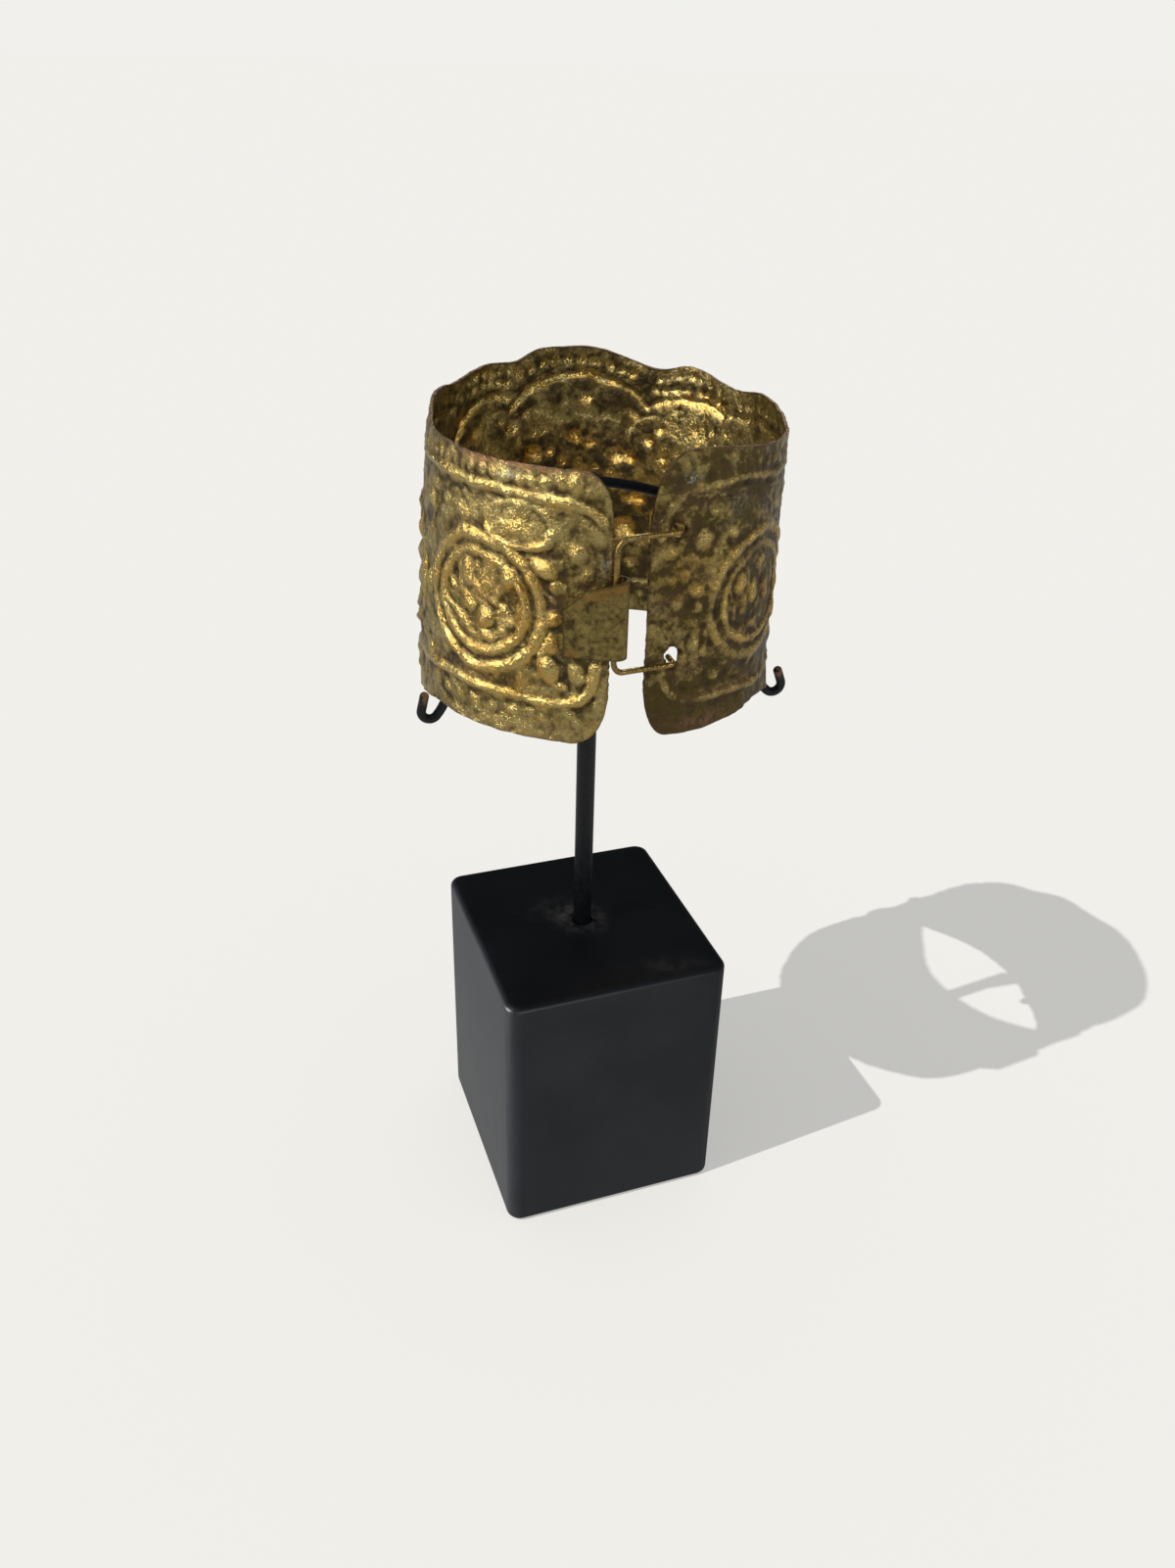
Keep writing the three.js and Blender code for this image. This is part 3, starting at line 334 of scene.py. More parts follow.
# Places that the gilding has left, or that have turned, with painted shade and painted light among
# the tarnish patches: u, z, reach along, reach up, strength
TARNISH_AND_PAINTED_LIGHT = (
    (88, 171, 20, 8, 0.5), (80, 140, 24, 34, 0.34), (98, 126, 12, 8, 0.6), (88, 126, 16, 5, 0.4),
    (-106, 158, 6, 9, 0.35), (11, 169, 7, 7, 0.6), (5, 160, 8, 5, 0.3), (-4, 148, 18, 7, 0.45),
    (-60, 150, 16, 34, 0.22), (-98, 132, 5, 6, -0.2), (-86, 148, 16, 13, -0.3),
    (-93, 163, 8, 5, -0.25), (22, 168, 9, 7, -0.55), (-22, 168, 9, 8, -0.1),
    (99, 150, 7, 16, 0.25), (-96, 169, 12, 4, -0.15), (60, 140, 14, 30, 0.25),
    # The first two patches on the next line are painted shadow of the folded plate, along its free
    # edge and under it
    (-101.6, 149.5, 1.5, 8, 0.5), (-106, 140.2, 5, 0.9, 0.5), (-88, 166, 22, 9, 0.12),
    # The first patch on the next line is painted light, which lightens the inside of the back
    (-2, 165, 20, 12, -0.16), (16, 171, 4, 4, 0.4), (11, 130, 9, 9, 0.4),
)
COPPER = (
    (-94, 174.3, 13, 0.8, 1.0), (-84, 173.4, 5, 2.4, 0.35), (-97, 169.6, 3.2, 0.8, 0.5),
    (84, 130.0, 8, 1.0, 0.5), (90, 125, 7, 1.6, 0.3), (98, 163.0, 2.2, 2.2, 0.5),
    (98, 138.9, 2.0, 2.6, 0.4), (-104, 125, 9, 2.4, 0.3), (-88, 125.4, 9, 1.6, 0.3),
)
VERDIGRIS = (
    (-92.3, 172.6, 1.7, 0.9, 1.0), (-90.3, 172.0, 0.8, 0.8, 0.8), (96.0, 171.8, 1.5, 0.9, 1.0),
    (86.0, 166.0, 2.6, 1.8, 0.35), (-109.3, 158.3, 0.7, 1.6, 0.5),
)
WARM = (
    (-86, 150, 12, 12, 0.3), (0, 147, 34, 8, 1.0), (-105, 148, 6, 6, 0.5), (78, 146, 12, 12, 0.5),
    (-92, 134, 5, 3, 0.6), (97, 155, 5, 5, 0.5), (-6, 158, 20, 5, 0.25),
)

# Half the sheet's thickness in the part, the gap kept between pieces, and how much further the
# bail's ends reach inside the cuff
SHEET_HALF, CLEARANCE, BAIL_STUB = 0.35, 0.3, 1.0

# Shares of a hole's size: the sheet is cut away inside the first, and its grid moved out to the last
HOLE_OPEN, HOLE_MOVED = 0.72, 1.35

# Part of the sheet that stays flat under the plate: its middle, half height and margin
FLAT_PLACE = {"z": 148.2, "half": 7.6, "margin": 0.6}

# Grids that the sheet and the plate are shaped from: columns along, rows up
SHEET_GRID = (430, 112)
PLATE_GRID = (84, 44)

# Plate folded round the left end: its runs along the sheet, and places out from the sheet
PLATE = {
    "front": 7.8, "back": 7.0, "reach": 3.2, "thickness": 0.55,
    "front_place": 2.2, "back_place": -1.0, "bottom": 141.5, "top": 154.5, "fold_top": 156.2,
    "chamfer": 3.9, "plan_height": 155.3,
}

# Stand
BLOCK = {"width": 50.0, "depth": 52.0, "height": 63.0, "side_edge": 3.2, "edge": 1.3,
         "turn": 13.4}
ROD = {"radius": 2.0, "foot": 43.3, "top": 165.2, "socket": 2.3, "socket_depth": 20.0}
WIRE = {
    "radius": 0.95, "turn": 6.8, "before_rod": 2.7, "fall": 7.5, "reach": 14.0,
    "clearance": CLEARANCE, "sheet": 2 * SHEET_HALF,
}
ARMS = {
    -1: {"shoulder": 34.0, "slope": 50.0, "below_seat": 2.9, "radius": 1.65, "tip": 4.0,
         "lean": 13.0},
    1: {"shoulder": 45.0, "slope": 40.0, "below_seat": 3.7, "radius": 1.8, "tip": 3.5,
        "lean": 20.0},
}

# Key light: its way, and a sun for each group of pieces: strength, softness in degrees and group
KEY_WAY = (0.80, 0.29, -1.0)
SUN_COLOUR = (1.0, 0.985, 0.95)
SUNS = (("sun_on_floor", 6.7, 0.4, "floor"), ("sun_on_metal", 2.5, 1.2, "metal"),
        ("sun_on_stand", 0.4, 2.0, "stand"))

# Softboxes: place, target, size, power and group
SOFTBOX_COLOUR = (1.0, 0.98, 0.94)
SOFTBOXES = (
    ("left_softbox", (-0.75, -0.25, 0.42), (0, 0, 0.14), (0.14, 0.2), 3.4, "metal"),
    ("front_softbox", (-0.2, -0.75, 0.75), (0, 0, 0.15), (0.12, 0.08), 2.6, "metal"),
    ("right_strip", (0.6, -0.35, 0.35), (0, 0, 0.15), (0.05, 0.3), 1.0, "metal"),
    ("back_softbox", (0.25, 0.6, 0.75), (0, 0, 0.15), (0.4, 0.2), 2.4, "metal"),
    ("side_of_block", (-0.5, -0.1, 0.02), (0, 0, 0.02), (0.3, 0.1), 15.0, "block"),
    ("front_of_block", (0.1, -0.6, 0.03), (0, 0, 0.03), (0.4, 0.1), 3.0, "block"),
)

# Floor: its lit share, and its glow as seen and in reflections
FLOOR_LIT, FLOOR_GLOW, FLOOR_REFLECTED = 0.25, 0.52, 0.085

# World: its colour and strength as light and in reflections, and its colour as seen
WORLD_LIGHT = ((0.98, 0.985, 1.0, 1), 0.70)
WORLD_REFLECTED = ((0.92, 0.95, 0.97, 1), 0.07)
WORLD_SEEN = (0.879, 0.871, 0.838, 1)

# Camera, at the angle that the block's edges give
CAMERA = {
    "place": (-25.9, -231.05, 233.8), "look": (0.0979, 0.8590, -0.5026), "roll": 1.5,
    "lens": 28.87,
}


# Sheet

def side_inset(angle, z):
    """How far the sheet stands in from its plan, at an angle and a height."""
    side = np.sin(angle)
    left = side < 0
    lean = np.where(left, LEAN_IN["left"], LEAN_IN["right"])
    flare = np.where(left, FLARE["left"], FLARE["right"])
    up = (z - SEAT) / PANEL
    near = np.maximum(0, 1 - (z - SEAT) / FLARE["height"])
    inward = PLAN["squeeze"] + PLAN["shift"] * side + lean * up * np.abs(up)
    return side * side * (inward - flare * near * near)


def plan_point(angle, z):
    """Point of the sheet's middle surface, by the angle round from the back."""
    radius = (
        PLAN["radius"] - PLAN["spring"] * angle / np.pi - PLAN["oval"] * np.sin(2 * angle)
        + PLAN["flat"] * np.cos(3 * angle) - side_inset(angle, z)
    )
    return CENTRE_X + radius * np.sin(angle), CENTRE_Y + radius * np.cos(angle)


def measured_plan():
    angles = np.radians(np.linspace(*END_ANGLES, 721))
    x, y = plan_point(angles, SEAT)
    lengths = np.concatenate([[0], np.cumsum(np.hypot(np.diff(x), np.diff(y)))])
    return angles, lengths


PLAN_ANGLES, PLAN_LENGTHS = measured_plan()
REAL_SHARE = PLAN_LENGTHS[-1] / SHEET


def sheet_point(u, z, outward):
    """Point of the sheet at u and z, moved out along its normal; past an end it goes straight on."""
    u = np.asarray(u, float)
    z = np.asarray(z, float)
    inside = np.clip(u, LEFT_END, RIGHT_END)
    angle = np.interp((inside - LEFT_END) * REAL_SHARE, PLAN_LENGTHS, PLAN_ANGLES)
    x, y = plan_point(angle, z)
    x1, y1 = plan_point(angle + 1e-3, z)
    x0, y0 = plan_point(angle - 1e-3, z)
    ahead_x, ahead_y = x1 - x0, y1 - y0
    length = np.hypot(ahead_x, ahead_y)
    ahead_x, ahead_y = ahead_x / length, ahead_y / length
    past = (u - inside) * REAL_SHARE
    x = x + ahead_x * past - ahead_y * outward
    y = y + ahead_y * past + ahead_x * outward
    return np.stack([x, y, np.broadcast_to(z, x.shape)], -1)


def smooth_path(points, step):
    """Points at even steps along a smooth curve through the given ones."""
    points = np.asarray(points, float)
    ends = np.vstack([2 * points[0] - points[1], points, 2 * points[-1] - points[-2]])
    dense = []
    for i in range(1, len(ends) - 2):
        t = np.linspace(0, 1, 12, endpoint=False)[:, None]
        p0, p1, p2, p3 = ends[i - 1: i + 3]
        dense.append(0.5 * (
            2 * p1 + (p2 - p0) * t + (2 * p0 - 5 * p1 + 4 * p2 - p3) * t ** 2
            + (3 * p1 - p0 - 3 * p2 + p3) * t ** 3
        ))
    dense = np.vstack(dense + [points[-1:]])
    along = np.concatenate([[0], np.cumsum(np.linalg.norm(np.diff(dense, axis=0), axis=1))])
    count = max(2, int(round(along[-1] / step)) + 1)
    at = np.linspace(0, along[-1], count)
    return np.stack([np.interp(at, along, dense[:, k]) for k in range(dense.shape[1])], -1)


RIM_U = LEFT_END + np.array(RIM_ALONG) * SHEET
UPPER_CURVE = smooth_path(np.stack([RIM_U, RIM_UPPER], -1), 0.5)
LOWER_CURVE = smooth_path(np.stack([RIM_U, RIM_LOWER], -1), 0.5)


def corner_drop(u, left, right):
    def drop(share, up):
        return up * (1 - np.sqrt(np.maximum(0, 1 - np.clip(share, 0, 1) ** 2)))
    from_left = 1 - (u - LEFT_END) * REAL_SHARE / CORNERS[left][0]
    from_right = 1 - (RIGHT_END - u) * REAL_SHARE / CORNERS[right][0]
    return drop(from_left, CORNERS[left][1]) + drop(from_right, CORNERS[right][1])


def plain_upper(u):
    return SEAT + PANEL + UPPER_SCALLOP * np.interp(u, UPPER_CURVE[:, 0], UPPER_CURVE[:, 1])


def plain_lower(u):
    return SEAT + LOWER_SCALLOP * np.interp(u, LOWER_CURVE[:, 0], LOWER_CURVE[:, 1])


def upper_rim(u):
    return plain_upper(u) - corner_drop(u, "left_upper", "right_upper")


def lower_rim(u):
    return plain_lower(u) + corner_drop(u, "left_lower", "right_lower")


# Relief

class Relief:
    """Height of the chased work over a grid of places on the flat sheet, in millimetres."""

    def __init__(self, u, z, columns):
        self.u = u
        self.z = z
        self.columns = columns
        self.raised = np.zeros_like(u)
        self.sunk = np.zeros_like(u)

    def window(self, low, high):
        """The columns that lie between two places along the sheet."""
        near = np.where((self.columns >= low - 0.8) & (self.columns <= high + 0.8))[0]
        return slice(near[0], near[-1] + 1) if len(near) else None

    def put(self, part, height):
        self.raised[part] = np.maximum(self.raised[part], height)

    def dome(self, u, z, wide, tall, rise, lean=0.0):
        reach = max(wide, tall) + 0.2
        part = self.window(u - reach, u + reach)
        if part is None:
            return
        turn = math.radians(lean)
        du, dz = self.u[part] - u, self.z[part] - z
        across = du * math.cos(turn) + dz * math.sin(turn)
        along = -du * math.sin(turn) + dz * math.cos(turn)
        share = np.clip(1 - (across / wide) ** 2 - (along / tall) ** 2, 0, 1)
        height = abs(rise) * share ** 0.85
        if rise > 0:
            self.put(part, height)
        else:
            self.sunk[part] = np.maximum(self.sunk[part], height)

    def ridge(self, points, width, rise, closed=False):
        path = smooth_path(points, 0.45)
        reach = width / 2 + 0.2
        part = self.window(path[:, 0].min() - reach, path[:, 0].max() + reach)
        if part is None:
            return
        u, z = self.u[part], self.z[part]
        near = (z > path[:, 1].min() - reach) & (z < path[:, 1].max() + reach)
        places = np.stack([u[near], z[near]], -1)
        distance = np.full(len(places), 9.0)
        for chunk in np.array_split(path, max(1, len(path) // 40)):
            gaps = places[:, None, :] - chunk[None, :, :]
            distance = np.minimum(distance, np.sqrt((gaps ** 2).sum(-1).min(1)))
        share = np.clip(1 - (distance / (width / 2)) ** 2, 0, 1)
        height = np.zeros_like(u)
        height[near] = rise * share ** 1.2
        self.put(part, height)

    def ring(self, u, z, wide, tall, width, rise):
        turn = np.linspace(0, 2 * np.pi, 60)
        self.ridge(np.stack([u + wide * np.cos(turn), z + tall * np.sin(turn)], -1), width, rise)

    def row(self, first, last, height_at, pitch, wide, tall, rise):
        for i, u in enumerate(np.arange(first, last + 0.01, pitch)):
            uneven = 0.5 * math.sin(7.3 * i + first)
            at = u + 0.25 * math.sin(4.1 * i + last)
            size = 1 + 0.12 * uneven
            self.dome(at, height_at(u) + 0.2 * uneven, wide * size, tall * size,
                      rise * (1 + 0.35 * uneven), 0)

    def border(self, first, last, height_at, width, rise):
        u = np.linspace(first, last, max(4, int((last - first) / 2)))
        self.ridge(np.stack([u, height_at(u)], -1), width, rise)

    def flower(self, u, z, size):
        for wide, tall, width, rise in FLOWER_RINGS:
            self.ring(u, z, wide * size, tall * size, width * size, rise)
        self.dome(u, z, 2.2 * size, 2.2 * size, 1.2)
        for i in range(6):
            turn = i * math.pi / 3
            reach = 4.9 * size
            at_u, at_z = u + reach * math.sin(turn), z + reach * math.cos(turn)
            self.dome(at_u, at_z, 1.6 * size, 2.5 * size, 0.95, -math.degrees(turn))
            half = turn + math.pi / 6
            reach = 7.4 * size
            self.dome(u + reach * math.sin(half), z + reach * math.cos(half), 0.9, 0.9, 0.5)


def chased_relief(u, z, columns):
    work = Relief(u, z, columns)
    for first, last, depth, pitch, wide, tall, rise in UPPER_ROWS:
        work.row(first, last, lambda at: plain_upper(at) - depth, pitch, wide, tall, rise)
    for first, last, depth, pitch, wide, tall, rise in LOWER_ROWS:
        work.row(first, last, lambda at: plain_lower(at) + depth, pitch, wide, tall, rise)
    for first, last, depth, width, rise in UPPER_BORDERS:
        work.border(first, last, lambda at: plain_upper(at) - depth, width, rise)
    for first, last, depth, width, rise in LOWER_BORDERS:
        work.border(first, last, lambda at: plain_lower(at) + depth, width, rise)
    for place in FLOWERS:
        work.flower(*place)
    for points, width, rise in LEFT_RIDGES + RIGHT_RIDGES + BACK_RIDGES:
        work.ridge(points, width, rise)
    for row in LEFT_DOMES + RIGHT_DOMES + BACK_DOMES + SIDE_DOMES:
        work.dome(*row)
    for medallion in (LEFT_MEDALLION, RIGHT_MEDALLION):
        for wide, tall, width, rise in medallion["rings"]:
            work.ring(medallion["u"], medallion["z"], wide, tall, width, rise)
    return work.raised - work.sunk


def smoothed(values, reach):
    """Values averaged over a square of 2 * reach + 1 grid places, twice over."""
    out = values
    for axis in (0, 1, 0, 1):
        pad = [(0, 0), (0, 0)]
        pad[axis] = (reach + 1, reach)
        wide = np.cumsum(np.pad(out, pad, mode="edge"), axis=axis)
        size = 2 * reach + 1
        high = np.take(wide, range(size, wide.shape[axis]), axis=axis)
        low = np.take(wide, range(0, wide.shape[axis] - size), axis=axis)
        out = (high - low) / size
    return out


def unevenness(points, length, seed):
    """Smooth noise over points in millimetres, with features about as long as length."""
    out = np.empty(len(points))
    for i, (x, y, z) in enumerate(points / length):
        out[i] = noise.noise((x + seed, y - seed, z + 0.5 * seed))
    return out


def patches(rows, u, z):
    """Sum of soft oval patches over the flat sheet."""
    total = np.zeros_like(u)
    for at_u, at_z, along, up, strength in rows:
        total += strength * np.exp(-((u - at_u) / along) ** 2 - ((z - at_z) / up) ** 2)
    return total


# Blender helpers

def deselect():
    bpy.ops.object.select_all(action="DESELECT")


def active_piece(name):
    piece = bpy.context.object
    piece.name = name
    piece.data.name = name
    return piece


def apply_modifiers(piece):
    deselect()
    piece.select_set(True)
    bpy.context.view_layer.objects.active = piece
    for modifier in list(piece.modifiers):
        bpy.ops.object.modifier_apply(modifier=modifier.name)


def shade(piece, angle=None):
    deselect()
    piece.select_set(True)
    bpy.context.view_layer.objects.active = piece
    if angle is None:
        bpy.ops.object.shade_smooth()
    else:
        bpy.ops.object.shade_smooth_by_angle(angle=math.radians(angle))


def grid_piece(name, columns, rows):
    """A flat grid, and the column and row of each of its vertices."""
    deselect()
    bpy.ops.mesh.primitive_grid_add(x_subdivisions=columns, y_subdivisions=rows, size=2)
    piece = active_piece(name)
    places = vertex_places(piece)
    column = np.rint((places[:, 0] + 1) / 2 * columns).astype(int)
    row = np.rint((places[:, 1] + 1) / 2 * rows).astype(int)
    return piece, column, row


def vertex_places(piece):
    """Places of a piece's vertices, in its own units."""
    places = np.empty(len(piece.data.vertices) * 3)
    piece.data.vertices.foreach_get("co", places)
    return places.reshape(-1, 3)


def thicken(piece, thickness):
    solid = piece.modifiers.new("thickness", "SOLIDIFY")
    solid.thickness = thickness
    solid.offset = 0


def face_outward(piece):
    """Turns all faces outwards, on the active piece."""
    bpy.ops.object.mode_set(mode="EDIT")
    bpy.ops.mesh.select_all(action="SELECT")
    bpy.ops.mesh.normals_make_consistent(inside=False)
    bpy.ops.object.mode_set(mode="OBJECT")


def move_vertices(piece, points):
    piece.data.vertices.foreach_set("co", (points * MM).astype(np.float32).ravel())
    piece.data.update()


def add_attribute(piece, name, values):
    layer = piece.data.attributes.new(name, "FLOAT", "POINT")
    layer.data.foreach_set("value", values.astype(np.float32))


def tube_piece(name, points, radius, round_tips=(True, True), sides=8):
    """A wire along points in millimetres, with its tips rounded over."""
    deselect()
    bpy.ops.curve.primitive_bezier_curve_add()
    piece = active_piece(name)
    curve = piece.data
    curve.splines.clear()
    spline = curve.splines.new("POLY")
    spline.points.add(len(points) - 1)
    along = np.concatenate([[0], np.cumsum(np.linalg.norm(np.diff(points, axis=0), axis=1))])
    for i, point in enumerate(points):
        spline.points[i].co = (*(Vector(point) * MM), 1)
        share = 1.0
        for rounded, gap in zip(round_tips, (along[i], along[-1] - along[i])):
            if rounded and gap < radius:
                share = min(share, math.sqrt(max(0.04, 1 - (1 - gap / radius) ** 2)))
        spline.points[i].radius = share
    curve.dimensions = "3D"
    curve.bevel_depth = radius * MM
    curve.bevel_resolution = sides
    curve.use_fill_caps = True
    deselect()
    piece.select_set(True)
    bpy.context.view_layer.objects.active = piece
    bpy.ops.object.convert(target="MESH")
    piece = bpy.context.object
    bpy.ops.object.mode_set(mode="EDIT")
    bpy.ops.mesh.select_all(action="SELECT")
    bpy.ops.mesh.remove_doubles(threshold=1e-7)
    bpy.ops.mesh.normals_make_consistent(inside=False)
    bpy.ops.object.mode_set(mode="OBJECT")
    return piece


def tip_spaced(points, radius):
    """A path with its two tips divided finely, so that they can be rounded."""
    along = np.concatenate([[0], np.cumsum(np.linalg.norm(np.diff(points, axis=0), axis=1))])
    length = along[-1]
    fine = radius * (1 - np.cos(np.linspace(0, np.pi / 2, 7)))
    middle = along[(along > radius * 1.15) & (along < length - radius * 1.15)]
    at = np.concatenate([fine, middle, (length - fine)[::-1]])
    return np.stack([np.interp(at, along, points[:, k]) for k in range(3)], -1)


def round_corner(before, corner, after, radius, turns):
    before, corner, after = (np.asarray(p, float) for p in (before, corner, after))
    back = (before - corner) / np.linalg.norm(before - corner)
    on = (after - corner) / np.linalg.norm(after - corner)
    half = math.acos(np.clip(back @ on, -1, 1)) / 2
    start = corner + back * radius / math.tan(half)
    end = corner + on * radius / math.tan(half)
    middle = back + on
    centre = corner + middle / np.linalg.norm(middle) * radius / math.sin(half)
    sweep = math.pi - 2 * half
    first, last = start - centre, end - centre
    share = np.linspace(0, 1, turns + 1)[:, None]
    bow = np.sin((1 - share) * sweep) * first + np.sin(share * sweep) * last
    return bow / math.sin(sweep) + centre


# Materials

def node_group(name, inputs, outputs):
    group = bpy.data.node_groups.new(name, "ShaderNodeTree")
    for label, kind, default in inputs:
        socket = group.interface.new_socket(label, in_out="INPUT", socket_type=kind)
        socket.default_value = default
    for label, kind in outputs:
        group.interface.new_socket(label, in_out="OUTPUT", socket_type=kind)
    return group, group.nodes.new("NodeGroupInput"), group.nodes.new("NodeGroupOutput")


class Tree:
    """A node tree with short ways to add and join its nodes."""

    def __init__(self, tree):
        self.tree = tree

    def add(self, kind, links=None, **settings):
        node = self.tree.nodes.new("ShaderNode" + kind)
        for key, value in settings.items():
            setattr(node, key, value)
        for key, value in (links or {}).items():
            self.join(value, node.inputs[key])
        return node

    def join(self, value, socket):
        if isinstance(value, bpy.types.NodeSocket):
            self.tree.links.new(value, socket)
        else:
            socket.default_value = value

    def sum(self, operation, first, second, clamp=False):
        node = self.add("Math", operation=operation, use_clamp=clamp)
        self.join(first, node.inputs[0])
        self.join(second, node.inputs[1])
        return node.outputs[0]

    def blend(self, share, first, second, mode="MIX"):
        node = self.add("Mix", data_type="RGBA", blend_type=mode)
        self.join(share, node.inputs["Factor"])
        self.join(first, node.inputs["A"])
        self.join(second, node.inputs["B"])
        return node.outputs["Result"]

    def spread(self, value, low, high, to_low=0.0, to_high=1.0):
        node = self.add("MapRange", {"Value": value, "From Min": low, "From Max": high,
                                     "To Min": to_low, "To Max": to_high})
        return node.outputs["Result"]

    def speckle(self, vector, scale, detail=3.0, rough=0.55):
        node = self.add("TexNoise", {"Vector": vector, "Scale": scale, "Detail": detail,
                                     "Roughness": rough})
        return node.outputs["Fac"]


def build_grain_group():
    """Fine uneven surface of worked metal or paint, as a height."""
    group, given, result = node_group(
        "worked_grain",
        (("Vector", "NodeSocketVector", (0, 0, 0)), ("Fine", "NodeSocketFloat", 1800.0),
         ("Coarse", "NodeSocketFloat", 500.0), ("Balance", "NodeSocketFloat", 0.5)),
        (("Height", "NodeSocketFloat"), ("Mask", "NodeSocketFloat")),
    )
    t = Tree(group)
    fine = t.speckle(given.outputs["Vector"], given.outputs["Fine"], 3.0, 0.6)
    coarse = t.speckle(given.outputs["Vector"], given.outputs["Coarse"], 4.0, 0.6)
    mix = t.add("Mix", {"Factor": given.outputs["Balance"], "A": coarse, "B": fine},
                data_type="FLOAT")
    group.links.new(mix.outputs["Result"], result.inputs["Height"])
    group.links.new(coarse, result.inputs["Mask"])
    return group


def build_tarnish_group():
    """Where metal has turned: in recesses and in drifting patches, as a mask; on the sheet its
    amount also carries painted shadow and painted light.
    """
    group, given, result = node_group(
        "tarnish",
        (("Vector", "NodeSocketVector", (0, 0, 0)), ("Recess", "NodeSocketFloat", 0.0),
         ("Amount", "NodeSocketFloat", 0.4), ("Patch Scale", "NodeSocketFloat", 150.0),
         ("Speck Scale", "NodeSocketFloat", 1100.0)),
        (("Mask", "NodeSocketFloat"), ("Specks", "NodeSocketFloat")),
    )
    t = Tree(group)
    drift = t.speckle(given.outputs["Vector"], given.outputs["Patch Scale"], 4.0, 0.62)
    specks = t.speckle(given.outputs["Vector"], given.outputs["Speck Scale"], 3.0, 0.65)
    base = t.sum("MULTIPLY_ADD", drift, 1.5)
    base.node.inputs[2].default_value = -0.75
    total = t.sum("ADD", t.sum("ADD", base, given.outputs["Amount"]), given.outputs["Recess"])
    flecked = t.sum("ADD", total, t.spread(specks, 0.3, 0.7, -0.28, 0.28), clamp=True)
    group.links.new(flecked, result.inputs["Mask"])
    group.links.new(t.spread(specks, 0.62, 0.74), result.inputs["Specks"])
    return group


GROUPS = {}


def use_group(tree, key, builder, links):
    if key not in GROUPS:
        GROUPS[key] = builder()
    node = tree.tree.nodes.new("ShaderNodeGroup")
    node.node_tree = GROUPS[key]
    for name, value in links.items():
        tree.join(value, node.inputs[name])
    return node


def new_material(name):
    material = bpy.data.materials.new(name)
    material.use_nodes = True
    tree = Tree(material.node_tree)
    shader = material.node_tree.nodes["Principled BSDF"]
    where = tree.add("TexCoord").outputs["Object"]
    return material, tree, shader, where


def bump(tree, shader, height, distance, strength=1.0):
    node = tree.add("Bump", {"Height": height, "Distance": distance, "Strength": strength})
    tree.join(node.outputs["Normal"], shader.inputs["Normal"])


def gilt_material(colours):
    """Chased and gilt copper alloy: bright on what stands up, brown in the recesses, with painted
    glints of warm gold along steep flanks.
    """
    material, t, shader, where = new_material("gilt_chased_sheet")

    def painted(name):
        return t.add("Attribute", attribute_name=name).outputs["Fac"]

    recess = t.spread(painted("height"), -0.2, 0.28, 0.5, -0.42)
    # This mask holds tarnish, and also the painted shadow and painted light of the sheet's patches
    tarnish_and_light_node = use_group(t, "tarnish", build_tarnish_group, {
        "Vector": where, "Recess": recess, "Amount": painted("tarnish"),
    })
    grain = use_group(t, "grain", build_grain_group, {
        "Vector": where, "Balance": 0.35, "Coarse": 700.0, "Fine": 2000.0,
    })
    tone = t.spread(grain.outputs["Mask"], 0.35, 0.65)
    gold = t.blend(tone, (*colours.gold, 1), (*colours.pale_gold, 1))
    # Warm gold of rich gilding, and painted glints along the steep flanks of the relief
    gold = t.blend(painted("warm_and_painted_glint"), gold, (*colours.warm_gold, 1))
    brown = t.blend(t.spread(t.speckle(where, 210, 3.0), 0.46, 0.68),
                    (*colours.olive_brown, 1), (*colours.purple_brown, 1))
    colour = t.blend(tarnish_and_light_node.outputs["Mask"], gold, brown)
    deep = t.spread(painted("height"), -0.05, -0.24, 0.0, 0.85)
    deep = t.sum("MULTIPLY", deep, t.spread(t.speckle(where, 480, 4.0), 0.34, 0.56), clamp=True)
    colour = t.blend(deep, colour, (*colours.soot, 1))
    colour = t.blend(t.sum("MULTIPLY", painted("edge"), 0.8), colour, (*colours.rim, 1))
    rubbed = t.sum("MULTIPLY", painted("copper"),
                   t.spread(t.speckle(where, 850, 4.0), 0.42, 0.58), clamp=True)
    colour = t.blend(t.sum("MULTIPLY", rubbed, 0.8), colour, (*colours.copper, 1))
    colour = t.blend(t.sum("MULTIPLY", tarnish_and_light_node.outputs["Specks"], 0.55), colour,
                     (*(0.3 * c for c in colours.olive_brown), 1))
    green = t.sum("MULTIPLY", painted("verdigris"),
                  t.spread(t.speckle(where, 2200, 4.0), 0.5, 0.62), clamp=True)
    colour = t.blend(green, colour, (*colours.verdigris, 1))
    t.join(colour, shader.inputs["Base Color"])
    rough = t.sum("MULTIPLY_ADD", tarnish_and_light_node.outputs["Mask"], 0.24)
    rough.node.inputs[2].default_value = 0.17
    rough = t.sum("ADD", rough, t.sum("MULTIPLY", green, 0.3), clamp=True)
    t.join(rough, shader.inputs["Roughness"])
    metal = t.sum("SUBTRACT", 1.0, t.sum("MULTIPLY", tarnish_and_light_node.outputs["Mask"], 0.18))
    metal = t.sum("SUBTRACT", metal, t.sum("MULTIPLY", green, 0.6), clamp=True)
    t.join(metal, shader.inputs["Metallic"])
    bump(t, shader, grain.outputs["Height"], 0.0007, 0.9)
    return material


